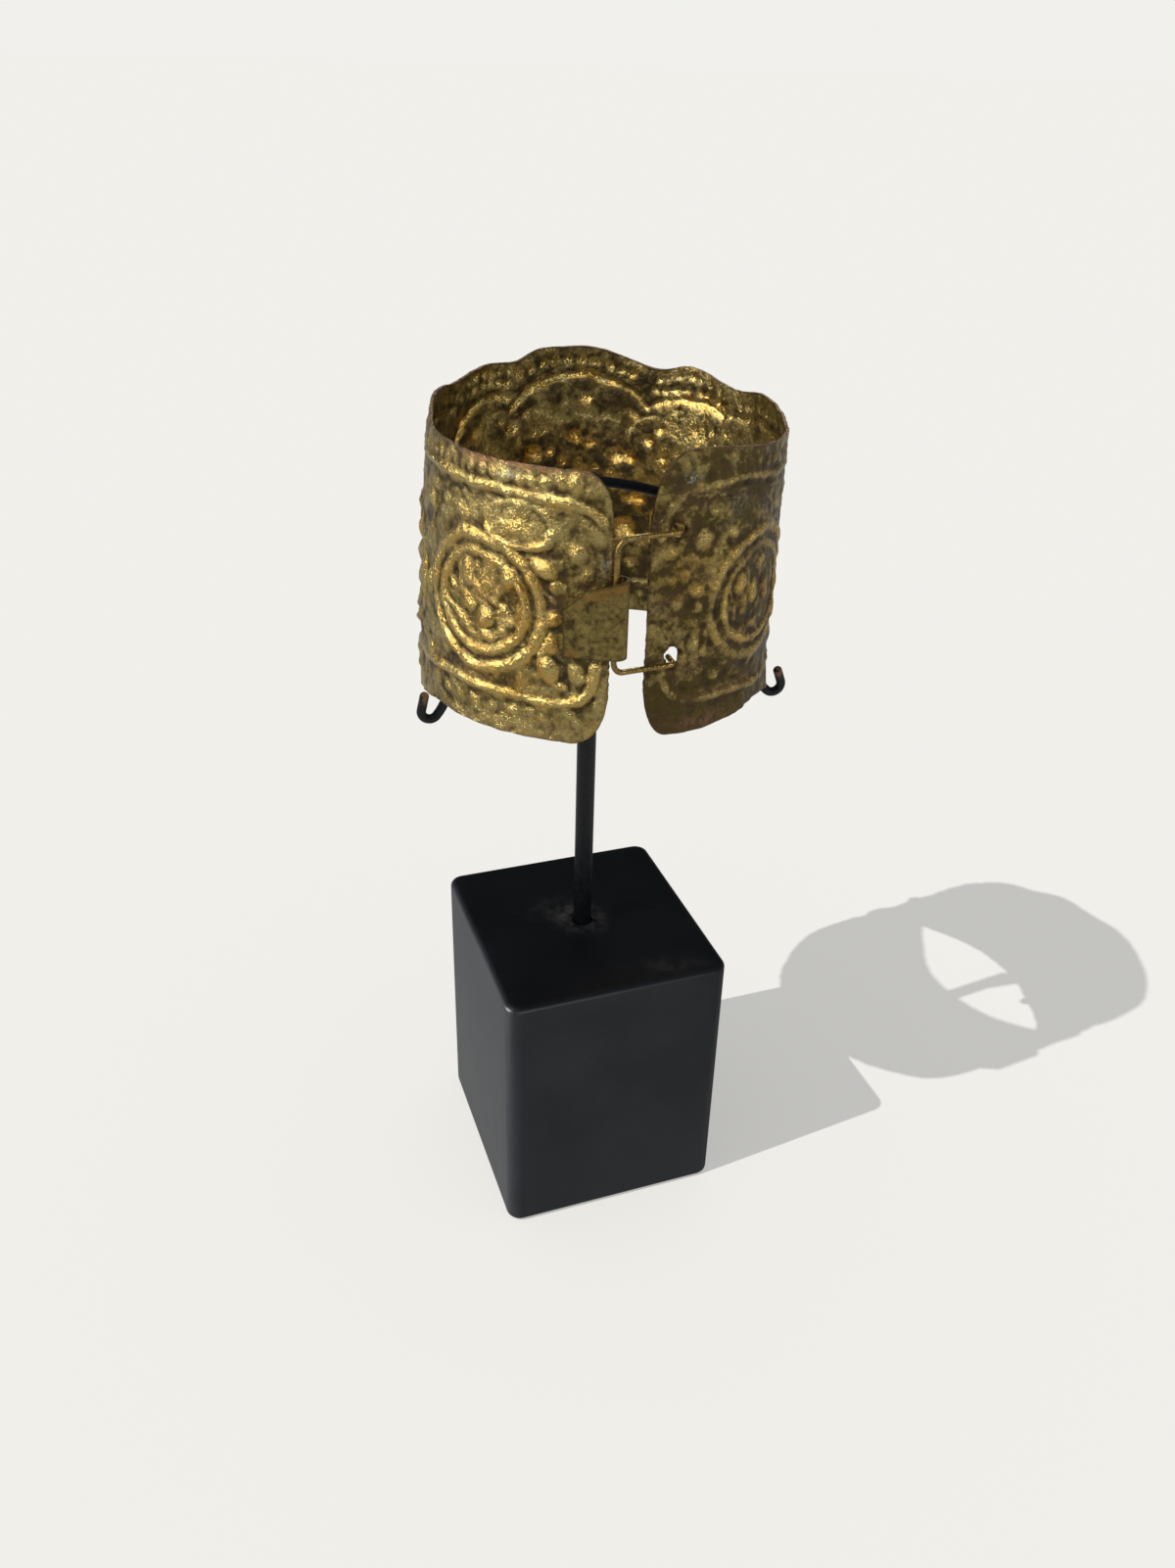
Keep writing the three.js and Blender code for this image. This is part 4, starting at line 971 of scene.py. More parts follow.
def plain_brass_material(name, clean, worn, stain, dull, roughness):
    """Plain sheet or wire of copper alloy, dulled unevenly."""
    material, t, shader, where = new_material(name)
    tarnish_and_light_node = use_group(t, "tarnish", build_tarnish_group, {
        "Vector": where, "Recess": 0.0, "Amount": dull, "Patch Scale": 430.0,
    })
    grain = use_group(t, "grain", build_grain_group, {
        "Vector": where, "Balance": 0.5, "Fine": 2600.0, "Coarse": 700.0,
    })
    mottled = t.spread(tarnish_and_light_node.outputs["Mask"], 0.15, 0.85)
    colour = t.blend(mottled, (*clean, 1), (*worn, 1))
    stained = t.sum("MULTIPLY", t.add("Attribute", attribute_name="stain").outputs["Fac"],
                    t.spread(t.speckle(where, 600, 4.0), 0.36, 0.6), clamp=True)
    colour = t.blend(stained, colour, (*stain, 1))
    # Darkens the pit, and paints shade along the plate's edges
    colour = t.blend(t.add("Attribute", attribute_name="pit_and_edge_shade").outputs["Fac"], colour,
                     tuple(0.3 * c for c in worn) + (1,))
    t.join(colour, shader.inputs["Base Color"])
    t.join(t.spread(tarnish_and_light_node.outputs["Mask"], 0, 1, roughness, roughness + 0.2),
           shader.inputs["Roughness"])
    t.join(t.spread(tarnish_and_light_node.outputs["Mask"], 0, 1, 1.0, 0.75), shader.inputs["Metallic"])
    bump(t, shader, grain.outputs["Height"], 0.0002, 0.7)
    return material


def black_steel_material(colours):
    """Black painted steel, rubbed to brown metal at the hooks' tips."""
    material, t, shader, where = new_material("black_painted_steel")
    rubbed = t.add("Attribute", attribute_name="rubbed").outputs["Fac"]
    specks = t.speckle(where, 900, 4.0)
    mask = t.sum("MULTIPLY", rubbed, t.spread(specks, 0.38, 0.56), clamp=True)
    paint = t.blend(t.spread(specks, 0.4, 0.65), (*colours.black_paint, 1),
                    tuple(1.8 * c for c in colours.black_paint) + (1,))
    t.join(t.blend(mask, paint, (*colours.rubbed_steel, 1)), shader.inputs["Base Color"])
    t.join(t.spread(specks, 0.3, 0.7, 0.34, 0.5), shader.inputs["Roughness"])
    shader.inputs["Specular IOR Level"].default_value = 0.3
    t.join(t.sum("MULTIPLY", mask, 0.8), shader.inputs["Metallic"])
    grain = use_group(t, "grain", build_grain_group, {"Vector": where, "Coarse": 400.0})
    bump(t, shader, grain.outputs["Height"], 0.00008, 0.5)
    return material


def block_material(colours):
    """Matt black paint on wood, with dust on top round the rod's foot."""
    material, t, shader, where = new_material("black_painted_block")
    grain = use_group(t, "grain", build_grain_group, {
        "Vector": where, "Fine": 2200.0, "Coarse": 90.0, "Balance": 0.6,
    })
    cloud = t.speckle(where, 45, 4.0, 0.6)
    paint = t.blend(t.spread(cloud, 0.35, 0.7), (*colours.block_paint, 1),
                    tuple(1.5 * c for c in colours.block_paint) + (1,))
    dust = t.add("Attribute", attribute_name="dust").outputs["Fac"]
    broken = t.sum("MULTIPLY", dust, t.spread(t.speckle(where, 420, 5.0, 0.65), 0.38, 0.62),
                   clamp=True)
    motes = t.sum("MULTIPLY", t.spread(t.speckle(where, 1500, 2.0), 0.73, 0.78), 0.3)
    cover = t.sum("MAXIMUM", broken, motes)
    t.join(t.blend(cover, paint, (*colours.dust, 1)), shader.inputs["Base Color"])
    t.join(t.spread(cloud, 0.3, 0.7, 0.36, 0.46), shader.inputs["Roughness"])
    shader.inputs["Specular IOR Level"].default_value = 0.16
    bump(t, shader, grain.outputs["Height"], 0.00006, 0.5)
    return material


# Sizes and colours that a user would change

def length_property(label, about, default):
    return bpy.props.FloatProperty(name=label, description=about, default=default * MM,
                                   unit="LENGTH", subtype="DISTANCE", min=0.0)


def colour_property(label, about, default):
    return bpy.props.FloatVectorProperty(name=label, description=about, default=default,
                                         subtype="COLOR", size=3, min=0.0, max=1.0)


class CuffSizes(bpy.types.PropertyGroup):
    sheet: length_property("Sheet", "Thickness of the cuff's sheet", 0.6)
    relief: bpy.props.FloatProperty(name="Relief", description="Height of the chased work, as a "
                                    "share of the real one", default=1.0, min=0.0, max=2.0,
                                    subtype="FACTOR")
    hammering: length_property("Hammering", "Unevenness of the sheet", 0.3)
    bail_wire: length_property("Bail wire", "Diameter of the bail's wire", 1.08)
    block_edge: length_property("Block edge", "Rounding of the block's level edges",
                                BLOCK["edge"])
    block_side_edge: length_property("Block side edge", "Rounding of the block's upright edges",
                                     BLOCK["side_edge"])


class CuffColours(bpy.types.PropertyGroup):
    gold: colour_property("Gold", "Gilding where it is sound", (0.52, 0.38, 0.12))
    pale_gold: colour_property("Pale gold", "Gilding where it is thin", (0.55, 0.455, 0.185))
    # Also the colour of the painted glints along the relief's steep flanks
    warm_gold: colour_property("Warm gold", "Gilding where it is rich", (0.66, 0.36, 0.06))
    olive_brown: colour_property("Olive brown", "Tarnish", (0.080, 0.055, 0.013))
    purple_brown: colour_property("Purple brown", "Darker tarnish", (0.086, 0.052, 0.025))
    soot: colour_property("Soot", "Dirt in the deepest places", (0.030, 0.021, 0.010))
    rim: colour_property("Rim", "Edges of the sheet", (0.115, 0.066, 0.034))
    copper: colour_property("Copper", "Rubbed metal of the edges", (0.47, 0.235, 0.115))
    verdigris: colour_property("Verdigris", "Blue-green specks", (0.33, 0.40, 0.39))
    plate: colour_property("Plate", "Folded plate", (0.30, 0.225, 0.072))
    plate_dull: colour_property("Plate dull", "Folded plate where it has dulled",
                                (0.045, 0.030, 0.009))
    plate_stain: colour_property("Plate stain", "Stains of the folded plate", (0.27, 0.13, 0.028))
    bail: colour_property("Bail", "Wire of the bail", (0.43, 0.295, 0.085))
    bail_dull: colour_property("Bail dull", "Wire where it has dulled", (0.10, 0.06, 0.020))
    black_paint: colour_property("Black paint", "Paint of the holder", (0.005, 0.006, 0.008))
    rubbed_steel: colour_property("Rubbed steel", "Rubbed tips of the hooks", (0.30, 0.17, 0.11))
    block_paint: colour_property("Block paint", "Paint of the block", (0.0050, 0.0058, 0.0076))
    dust: colour_property("Dust", "Dust on the block", (0.06, 0.06, 0.058))
    floor: colour_property("Floor", "Floor under the stand", (0.80, 0.793, 0.768))


# Pieces

def sheet_columns(columns):
    """Places along the sheet, closer together on the two front panels."""
    share = np.linspace(0, 1, 2001)
    u = LEFT_END + share * SHEET
    density = 1 + 0.7 * (np.abs(u - 0.5 * (LEFT_END + RIGHT_END)) > 0.27 * SHEET)
    density += 0.15 * (np.abs(u) < 36)
    total = np.concatenate([[0], np.cumsum((density[1:] + density[:-1]) / 2)])
    return np.interp(np.linspace(0, total[-1], columns + 1), total, u)


def fit_hole(u, z, hole, points_inside):
    """Moves the grid round a hole onto its torn outline, and says which places are inside."""
    at_u, at_z = RIGHT_END - HOLE_FROM_END / REAL_SHARE, hole["z"]
    du, dz = u - at_u, z - at_z
    turn = np.arctan2(dz, du)
    torn = 1 + 0.09 * np.sin(3 * turn + at_z) + 0.05 * np.sin(5 * turn + 1)
    away = np.hypot(du / hole["wide"], dz / hole["tall"]) / torn
    inside = away < HOLE_OPEN
    ring = (away >= HOLE_OPEN) & (away < HOLE_MOVED)
    moved = 1 + (HOLE_MOVED - 1) * (away - HOLE_OPEN) / (HOLE_MOVED - HOLE_OPEN)
    share = np.where(ring, np.maximum(1.0, moved) / away, 1.0)
    return at_u + du * share, at_z + dz * share, points_inside | inside, away


class CUFF_OT_chased_sheet(bpy.types.Operator):
    """Builds the cuff's sheet, laid out flat, chased, curved and thickened"""

    bl_idname = "cuff.chased_sheet"
    bl_label = "Chased sheet"

    def execute(self, context):
        sizes, colours = context.scene.cuff_sizes, context.scene.cuff_colours
        columns, rows = SHEET_GRID
        piece, column, row = grid_piece("chased_cuff", columns, rows)
        u_line = sheet_columns(columns)
        low, high = lower_rim(u_line), upper_rim(u_line)
        share = np.linspace(0, 1, rows + 1)
        u = np.repeat(u_line[:, None], rows + 1, axis=1)
        z = low[:, None] + (high - low)[:, None] * share[None, :]
        relief, beaten, painted_glint_lines = self.worked(u, z, u_line, sizes.relief)
        flat_place = self.flat_places(u, z)
        hammer = sizes.hammering / MM
        lumps = relief + hammer * beaten
        edge = np.minimum(np.minimum(z - low[:, None], high[:, None] - z),
                          np.minimum(u - LEFT_END, RIGHT_END - u))
        outward = flat_place * relief + (0.35 + 0.65 * flat_place) * hammer * beaten
        inside = np.zeros(u.shape, bool)
        near_hole = np.zeros_like(u)
        for hole in HOLES:
            u, z, inside, away = fit_hole(u, z, hole, inside)
            near_hole += np.exp(-((away - 1.0) / 0.35) ** 2)
            outward -= 0.35 * np.exp(-((away - 1.0) / 0.3) ** 2)
        move_vertices(piece, sheet_point(u, z, outward)[column, row])
        for name, values in {
            "height": lumps - smoothed(lumps, 4),
            # Tarnish patches, with painted shadow of the plate and painted light on the back among
            # them, and more tarnish round the holes
            "tarnish": 0.36 + patches(TARNISH_AND_PAINTED_LIGHT, u, z) + 0.3 * near_hole,
            "copper": np.clip(patches(COPPER, u, z), 0, 1),
            "verdigris": np.clip(patches(VERDIGRIS, u, z), 0, 1),
            # Warm patches of gilding, and painted glints along the steep flanks of the relief
            "warm_and_painted_glint": np.clip(patches(WARM, u, z) + 0.6 * painted_glint_lines, 0, 1),
            "edge": np.exp(-(edge / 0.3) ** 2),
        }.items():
            add_attribute(piece, name, values[column, row])
        self.open_holes(piece, inside[column, row])
        thicken(piece, sizes.sheet)
        apply_modifiers(piece)
        face_outward(piece)
        shade(piece, 50)
        piece.data.materials.append(gilt_material(colours))
        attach(piece, "root")
        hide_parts("cuff_band")
        return {"FINISHED"}

    def worked(self, u, z, columns, strength):
        """Heights of the chased work and of the beaten surface, and how steep the work is, as a mask
        for glints painted along its flanks.
        """
        points = sheet_point(u, z, 0 * u).reshape(-1, 3)

        def uneven(length, seed):
            return unevenness(points, length, seed).reshape(u.shape)

        astray = 0.6 * uneven(7.0, 11.3), 0.6 * uneven(7.0, 17.9)
        relief = chased_relief(u + astray[0], z + astray[1], columns) * strength
        relief *= 0.82 + 0.5 * uneven(11.0, 23.1) + 0.35 * uneven(3.0, 29.3)
        relief *= 1 - 0.22 * np.clip((u - 50) / 12, 0, 1)
        relief = 0.25 * smoothed(relief, 1) + 0.75 * relief
        creased = 0.3 - np.abs(uneven(3.2, 31.7)) - 0.55 * np.abs(uneven(1.5, 37.1))
        beaten = 0.9 * uneven(9.0, 3.1) + 0.8 * uneven(3.4, 8.7) + 0.45 * uneven(1.6, 5.3)
        beaten += 1.05 * creased
        steep = np.clip(np.hypot(*np.gradient(smoothed(relief, 1))) / 0.2, 0, 1)
        return relief, beaten, steep * np.clip(0.6 + 1.6 * uneven(4.0, 41.3), 0, 1)

    def flat_places(self, u, z):
        """0 where the folded plate lies against the sheet, 1 elsewhere."""
        past = (u - (LEFT_END + PLATE["front"] + FLAT_PLACE["margin"])) / 1.5
        beside = (np.abs(z - FLAT_PLACE["z"]) - FLAT_PLACE["half"]) / 1.2
        return np.clip(np.maximum(past, beside), 0, 1)

    def open_holes(self, piece, inside):
        deselect()
        piece.select_set(True)
        bpy.context.view_layer.objects.active = piece
        bpy.ops.object.mode_set(mode="EDIT")
        bpy.ops.mesh.select_all(action="DESELECT")
        bpy.ops.object.mode_set(mode="OBJECT")
        piece.data.vertices.foreach_set("select", inside)
        bpy.ops.object.mode_set(mode="EDIT")
        bpy.ops.mesh.select_mode(type="VERT")
        bpy.ops.mesh.delete(type="VERT")
        bpy.ops.object.mode_set(mode="OBJECT")


class CUFF_OT_folded_plate(bpy.types.Operator):
    """Builds the plate that is folded round the cuff's left end"""

    bl_idname = "cuff.folded_plate"
    bl_label = "Folded plate"

    def marks(self, run, z, top, in_front, border):
        """Masks of the stains, and of the pit and the painted shade along the plate's edges."""
        stain = np.exp(-((z - top + 0.8) / 1.2) ** 2) * np.clip(1 - run / 8, 0.2, 1)
        stain = stain + 0.8 * np.exp(-((run - 6.6) / 1.2) ** 2 - ((z - 142.4) / 1.0) ** 2)
        pit_and_edge_shade = in_front * np.exp(-((run - 6.3) / 0.34) ** 2 - ((z - 148.6) / 0.24) ** 2)
        # The border term is painted shade along the plate's edges
        return np.clip(0.85 * stain, 0, 1), np.maximum(pit_and_edge_shade, 0.75 * np.exp(-(border / 0.28) ** 2))

    def profile(self):
        """Places along the fold, as runs from the sheet's end and places out from the sheet."""
        fold = (PLATE["front_place"] - PLATE["back_place"]) / 2
        middle = (PLATE["front_place"] + PLATE["back_place"]) / 2
        start = -(PLATE["reach"] - fold - PLATE["thickness"] / 2)
        back = np.stack([np.linspace(PLATE["back"], start, 12),
                         np.full(12, PLATE["back_place"])], -1)
        turn = np.linspace(-np.pi / 2, -1.5 * np.pi, 19)[1:-1]
        bend = np.stack([start + fold * np.cos(turn), middle + fold * np.sin(turn)], -1)
        front = np.stack([np.linspace(start, PLATE["front"], 14),
                          np.full(14, PLATE["front_place"])], -1)
        return np.vstack([back, bend, front])

    def execute(self, context):
        colours = context.scene.cuff_colours
        line = self.profile()
        along = np.concatenate([[0], np.cumsum(np.linalg.norm(np.diff(line, axis=0), axis=1))])
        columns, rows = PLATE_GRID
        piece, column, row = grid_piece("folded_plate", columns, rows)
        at = np.linspace(0, along[-1], columns + 1)
        run = np.interp(at, along, line[:, 0])
        out = np.interp(at, along, line[:, 1])
        in_front = at > along[len(line) // 2]
        rise = np.clip((3.4 - run) / 6.0, 0, 1)
        top = PLATE["top"] + (PLATE["fold_top"] - PLATE["top"]) * np.where(in_front, rise, 1.0)
        cut = np.where(in_front, np.maximum(0, run - (PLATE["front"] - PLATE["chamfer"])), 0)
        top = top - cut * 0.96 - 0.25 * np.sin(np.clip(cut / PLATE["chamfer"], 0, 1) * np.pi)
        bottom = PLATE["bottom"] + 0.25 * np.where(in_front, np.clip(run / 8, 0, 1) ** 2, 0)
        share = np.linspace(0, 1, rows + 1)
        z = bottom[:, None] + (top - bottom)[:, None] * share[None, :]
        u = LEFT_END + np.repeat(run[:, None], rows + 1, 1) / REAL_SHARE
        plan_z = 0 * z + PLATE["plan_height"]
        flat = sheet_point(u, plan_z, 0 * u + np.repeat(out[:, None], rows + 1, 1))
        flat[..., 2] = z
        bent = unevenness(flat.reshape(-1, 3), 5.0, 2.2).reshape(u.shape)
        bent += 0.4 * unevenness(flat.reshape(-1, 3), 1.8, 6.2).reshape(u.shape)
        edge = np.exp(-((at[-1] - at)[:, None] / 0.8) ** 2) * 0.12
        places = out[:, None] + np.where(in_front, 0.14, 0.04)[:, None] * bent + edge
        placed = sheet_point(u, plan_z, places)
        placed[..., 2] = z
        move_vertices(piece, placed[column, row])
        border = np.minimum(np.minimum(z - bottom[:, None], top[:, None] - z),
                            (at[-1] - at)[:, None])
        stain, pit_and_edge_shade = self.marks(run[:, None], z, top[:, None], in_front[:, None], border)
        add_attribute(piece, "stain", stain[column, row])
        add_attribute(piece, "pit_and_edge_shade", pit_and_edge_shade[column, row])
        thicken(piece, PLATE["thickness"] * MM)
        edges = piece.modifiers.new("edges", "BEVEL")
        edges.width = 0.1 * MM
        edges.segments = 2
        edges.angle_limit = math.radians(50)
        apply_modifiers(piece)
        face_outward(piece)
        shade(piece, 40)
        piece.data.materials.append(plain_brass_material(
            "dull_brass_plate", colours.plate, colours.plate_dull, colours.plate_stain,
            0.52, 0.34))
        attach(piece, "root")
        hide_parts("hook_plate")
        return {"FINISHED"}


class CUFF_OT_wire_bail(bpy.types.Operator):
    """Builds the bent wire that is hooked through the right end and reaches into the plate"""

    bl_idname = "cuff.wire_bail"
    bl_label = "Wire bail"

    def half(self, z, other, radius):
        hole = RIGHT_END - HOLE_FROM_END / REAL_SHARE
        outside = SHEET_HALF + CLEARANCE + 2 * radius
        inner = sheet_point(hole, z + 0.1, -(SHEET_HALF + CLEARANCE + radius + BAIL_STUB))
        outer = sheet_point(hole, z, outside)
        shoulder = sheet_point(RIGHT_END, z, outside)
        middle = (PLATE["front_place"] + PLATE["back_place"]) / 2
        bar_u = LEFT_END - (CLEARANCE + radius)
        bar, far = sheet_point(bar_u, z, middle), sheet_point(bar_u, other, middle)
        return np.vstack([
            inner[None],
            round_corner(inner, outer, shoulder, 2 * radius, 8),
            round_corner(shoulder, bar, far, 2.4, 12),
        ])

    def execute(self, context):
        sizes, colours = context.scene.cuff_sizes, context.scene.cuff_colours
        radius = sizes.bail_wire / MM / 2
        top, low = BAIL_MIDDLE + BAIL_HEIGHT / 2, BAIL_MIDDLE - BAIL_HEIGHT / 2
        points = np.vstack([self.half(top, low, radius), self.half(low, top, radius)[::-1]])
        path = self.handmade(points)
        piece = tube_piece("bent_wire_bail", tip_spaced(path, radius), radius)
        shade(piece, 60)
        piece.data.materials.append(plain_brass_material(
            "drawn_brass_wire", colours.bail, colours.bail_dull, colours.copper, 0.5, 0.16))
        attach(piece, "root")
        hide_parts("wire_bail")
        return {"FINISHED"}

    def handmade(self, points):
        """The same path at even steps, with the slight waves of a hand-bent wire."""
        along = np.concatenate([[0], np.cumsum(np.linalg.norm(np.diff(points, axis=0), axis=1))])
        at = np.linspace(0, along[-1], int(along[-1] / 0.3))
        path = np.stack([np.interp(at, along, points[:, k]) for k in range(3)], -1)
        path[1:-1] = 0.5 * path[1:-1] + 0.25 * (path[:-2] + path[2:])
        sway = 0.09 * unevenness(path, 6.0, 1.7)
        path[:, 2] += sway
        return path


def wall_crossing(side):
    """Where the cuff's wall crosses the plane of the holder's wire, out from the rod."""
    turn = math.radians(WIRE["turn"])
    low, high = side * math.pi / 3, side * math.pi * 0.9

    def on_plane(angle):
        x, y = plan_point(np.array(angle), SEAT)
        return (x * math.cos(turn) + y * math.sin(turn),
                -x * math.sin(turn) + y * math.cos(turn) + WIRE["before_rod"])

    for _ in range(40):
        middle = (low + high) / 2
        low, high = (middle, high) if on_plane(middle)[1] > 0 else (low, middle)
    return abs(float(on_plane(low)[0]))


def holder_half(side):
    """Half of the holder's wire, from the arch's top to the hook's tip, in its own plane."""
    arm = ARMS[side]
    slope = math.radians(arm["slope"])
    inner = wall_crossing(side) - WIRE["sheet"] / 2
    at_seat = inner - WIRE["clearance"] - WIRE["radius"] / math.sin(slope)
    down = np.array([math.cos(slope), -math.sin(slope)])
    leg_end = np.array([at_seat, SEAT]) + down * arm["below_seat"]
    top = np.array([0, ROD["top"]])
    shoulder = top + arm["shoulder"] * np.array([1, -math.tan(math.radians(WIRE["fall"]))])
    knee = leg_end - down * WIRE["reach"]
    t = np.linspace(0, 1, 40)[:, None]
    arch = (1 - t) ** 3 * top + 3 * (1 - t) ** 2 * t * shoulder + 3 * (1 - t) * t ** 2 * knee
    arch = arch + t ** 3 * leg_end
    across = np.array([math.sin(slope), math.cos(slope)])
    centre = leg_end + across * arm["radius"]
    lean = math.radians(arm["lean"])
    turn = 1.5 * math.pi - slope + (math.pi / 2 + slope + lean) * np.linspace(0, 1, 25)[1:]
    hook = centre + arm["radius"] * np.stack([np.cos(turn), np.sin(turn)], -1)
    tip = hook[-1] + np.linspace(0, arm["tip"], 8)[1:, None] * np.array(
        [math.cos(math.pi / 2 + lean), math.sin(math.pi / 2 + lean)])
    path = np.vstack([arch, hook, tip])
    turn = math.radians(WIRE["turn"])
    x, front = side * path[:, 0], -WIRE["before_rod"]
    return np.stack([x * math.cos(turn) - front * math.sin(turn),
                     x * math.sin(turn) + front * math.cos(turn), path[:, 1]], -1)


class CUFF_OT_holder(bpy.types.Operator):
    """Builds the rod and the bent wire with two hooks that carry the cuff"""

    bl_idname = "cuff.holder"
    bl_label = "Holder"

    def rod(self):
        deselect()
        height = ROD["top"] - ROD["foot"]
        bpy.ops.mesh.primitive_cylinder_add(
            vertices=48, radius=ROD["radius"] * MM, depth=height * MM,
            location=(0, 0, (ROD["foot"] + height / 2) * MM))
        bpy.ops.object.transform_apply(location=True, rotation=True, scale=True)
        bpy.ops.object.mode_set(mode="EDIT")
        bpy.ops.mesh.select_mode(type="FACE")
        bpy.ops.mesh.select_all(action="DESELECT")
        bpy.ops.object.mode_set(mode="OBJECT")
        rod = bpy.context.object
        for face in rod.data.polygons:
            face.select = abs(face.normal.z) > 0.9
        bpy.ops.object.mode_set(mode="EDIT")
        bpy.ops.mesh.bevel(offset=0.35 * MM, segments=3)
        bpy.ops.object.mode_set(mode="OBJECT")
        return rod

    def braze(self):
        """The small fillet of brazing metal where the wire meets the rod."""
        deselect()
        front = -WIRE["before_rod"] / 2 - 0.25
        turn = math.radians(WIRE["turn"])
        bpy.ops.mesh.primitive_uv_sphere_add(
            segments=32, ring_count=20, radius=1.0 * MM,
            location=(-front * math.sin(turn) * MM, front * math.cos(turn) * MM,
                      (ROD["top"] - 0.4) * MM),
            scale=(1.9, 1.6, 1.25))
        bpy.ops.object.transform_apply(location=True, rotation=True, scale=True)
        return bpy.context.object

    def execute(self, context):
        colours = context.scene.cuff_colours
        path = np.vstack([holder_half(-1)[1:][::-1], holder_half(1)])
        wire = tube_piece("painted_holder", tip_spaced(path, WIRE["radius"]), WIRE["radius"])
        others = [self.rod(), self.braze()]
        deselect()
        for piece in (*others, wire):
            piece.select_set(True)
        bpy.context.view_layer.objects.active = wire
        bpy.ops.object.join()
        piece = active_piece("painted_holder")
        shade(piece, 45)
        places = vertex_places(piece) / MM
        tips = np.minimum(np.linalg.norm(places - path[0], axis=1),
                          np.linalg.norm(places - path[-1], axis=1))
        add_attribute(piece, "rubbed", np.clip(1.5 - tips / 1.9, 0, 1))
        piece.data.materials.append(black_steel_material(colours))
        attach(piece, "root")
        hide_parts("stand_holder")
        return {"FINISHED"}


class CUFF_OT_block(bpy.types.Operator):
    """Builds the painted block that the rod stands in"""

    bl_idname = "cuff.block"
    bl_label = "Block"

    def execute(self, context):
        sizes, colours = context.scene.cuff_sizes, context.scene.cuff_colours
        deselect()
        bpy.ops.mesh.primitive_cube_add(
            size=1, location=(0, 0, BLOCK["height"] / 2 * MM),
            rotation=(0, 0, math.radians(BLOCK["turn"])),
            scale=(BLOCK["width"] * MM, BLOCK["depth"] * MM, BLOCK["height"] * MM))
        bpy.ops.object.transform_apply(location=True, rotation=True, scale=True)
        piece = active_piece("painted_block")
        bpy.ops.object.mode_set(mode="EDIT")
        bpy.ops.mesh.select_mode(type="EDGE")
        bpy.ops.mesh.select_all(action="DESELECT")
        self.select_edges(piece, upright=True)
        bpy.ops.mesh.bevel(offset=sizes.block_side_edge, segments=8, profile=0.5)
        self.select_edges(piece, upright=False)
        bpy.ops.mesh.bevel(offset=sizes.block_edge, segments=4, profile=0.5)
        bpy.ops.object.mode_set(mode="OBJECT")
        deselect()
        depth = ROD["socket_depth"] * MM
        bpy.ops.mesh.primitive_cylinder_add(
            vertices=48, radius=ROD["socket"] * MM, depth=2 * depth,
            location=(0, 0, BLOCK["height"] * MM))
        cutter = bpy.context.object
        bore = piece.modifiers.new("socket", "BOOLEAN")
        bore.object = cutter
        bore.operation = "DIFFERENCE"
        bore.solver = "EXACT"
        apply_modifiers(piece)
        bpy.data.objects.remove(cutter)
        self.divide(piece)
        self.add_dust(piece)
        shade(piece, 35)
        piece.data.materials.append(block_material(colours))
        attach(piece, "root")
        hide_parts("stand_block")
        return {"FINISHED"}

    def select_edges(self, piece, upright):
        """Selects the four upright edges, or the rings of level ones round the two ends."""
        bpy.ops.mesh.select_all(action="DESELECT")
        bpy.ops.object.mode_set(mode="OBJECT")
        mesh = piece.data
        heights = [vertex.co.z for vertex in mesh.vertices]
        flat = {key for face in mesh.polygons if abs(face.normal.z) > 0.9 for key in face.edge_keys}
        for edge in mesh.edges:
            first, last = edge.vertices
            stands = abs(heights[first] - heights[last]) > 0.5 * BLOCK["height"] * MM
            edge.select = stands if upright else edge.key in flat
        bpy.ops.object.mode_set(mode="EDIT")

    def divide(self, piece):
        """Cuts the top into even cells, for the dust that lies on it."""
        deselect()
        piece.select_set(True)
        bpy.context.view_layer.objects.active = piece
        bpy.ops.object.mode_set(mode="EDIT")
        for axis in ((1, 0, 0), (0, 1, 0)):
            for place in range(-12, 13):
                at = tuple(2.0 * place * MM * a for a in axis)
                bpy.ops.mesh.select_all(action="SELECT")
                bpy.ops.mesh.bisect(plane_co=at, plane_no=axis)
        bpy.ops.object.mode_set(mode="OBJECT")

    def add_dust(self, piece):
        x, y, z = (vertex_places(piece) / MM).T
        on_top = z > BLOCK["height"] - 0.6
        foot = np.exp(-((np.hypot(x, y) - 3.6) / 1.8) ** 2)
        drift = np.exp(-((x + 5) / 6) ** 2 - ((y - 4) / 4) ** 2)
        front = np.exp(-((x - 18) / 8) ** 2 - ((y + 18) / 2.4) ** 2)
        add_attribute(piece, "dust", on_top * np.clip(0.75 * foot + 0.4 * drift + 0.3 * front, 0, 1))


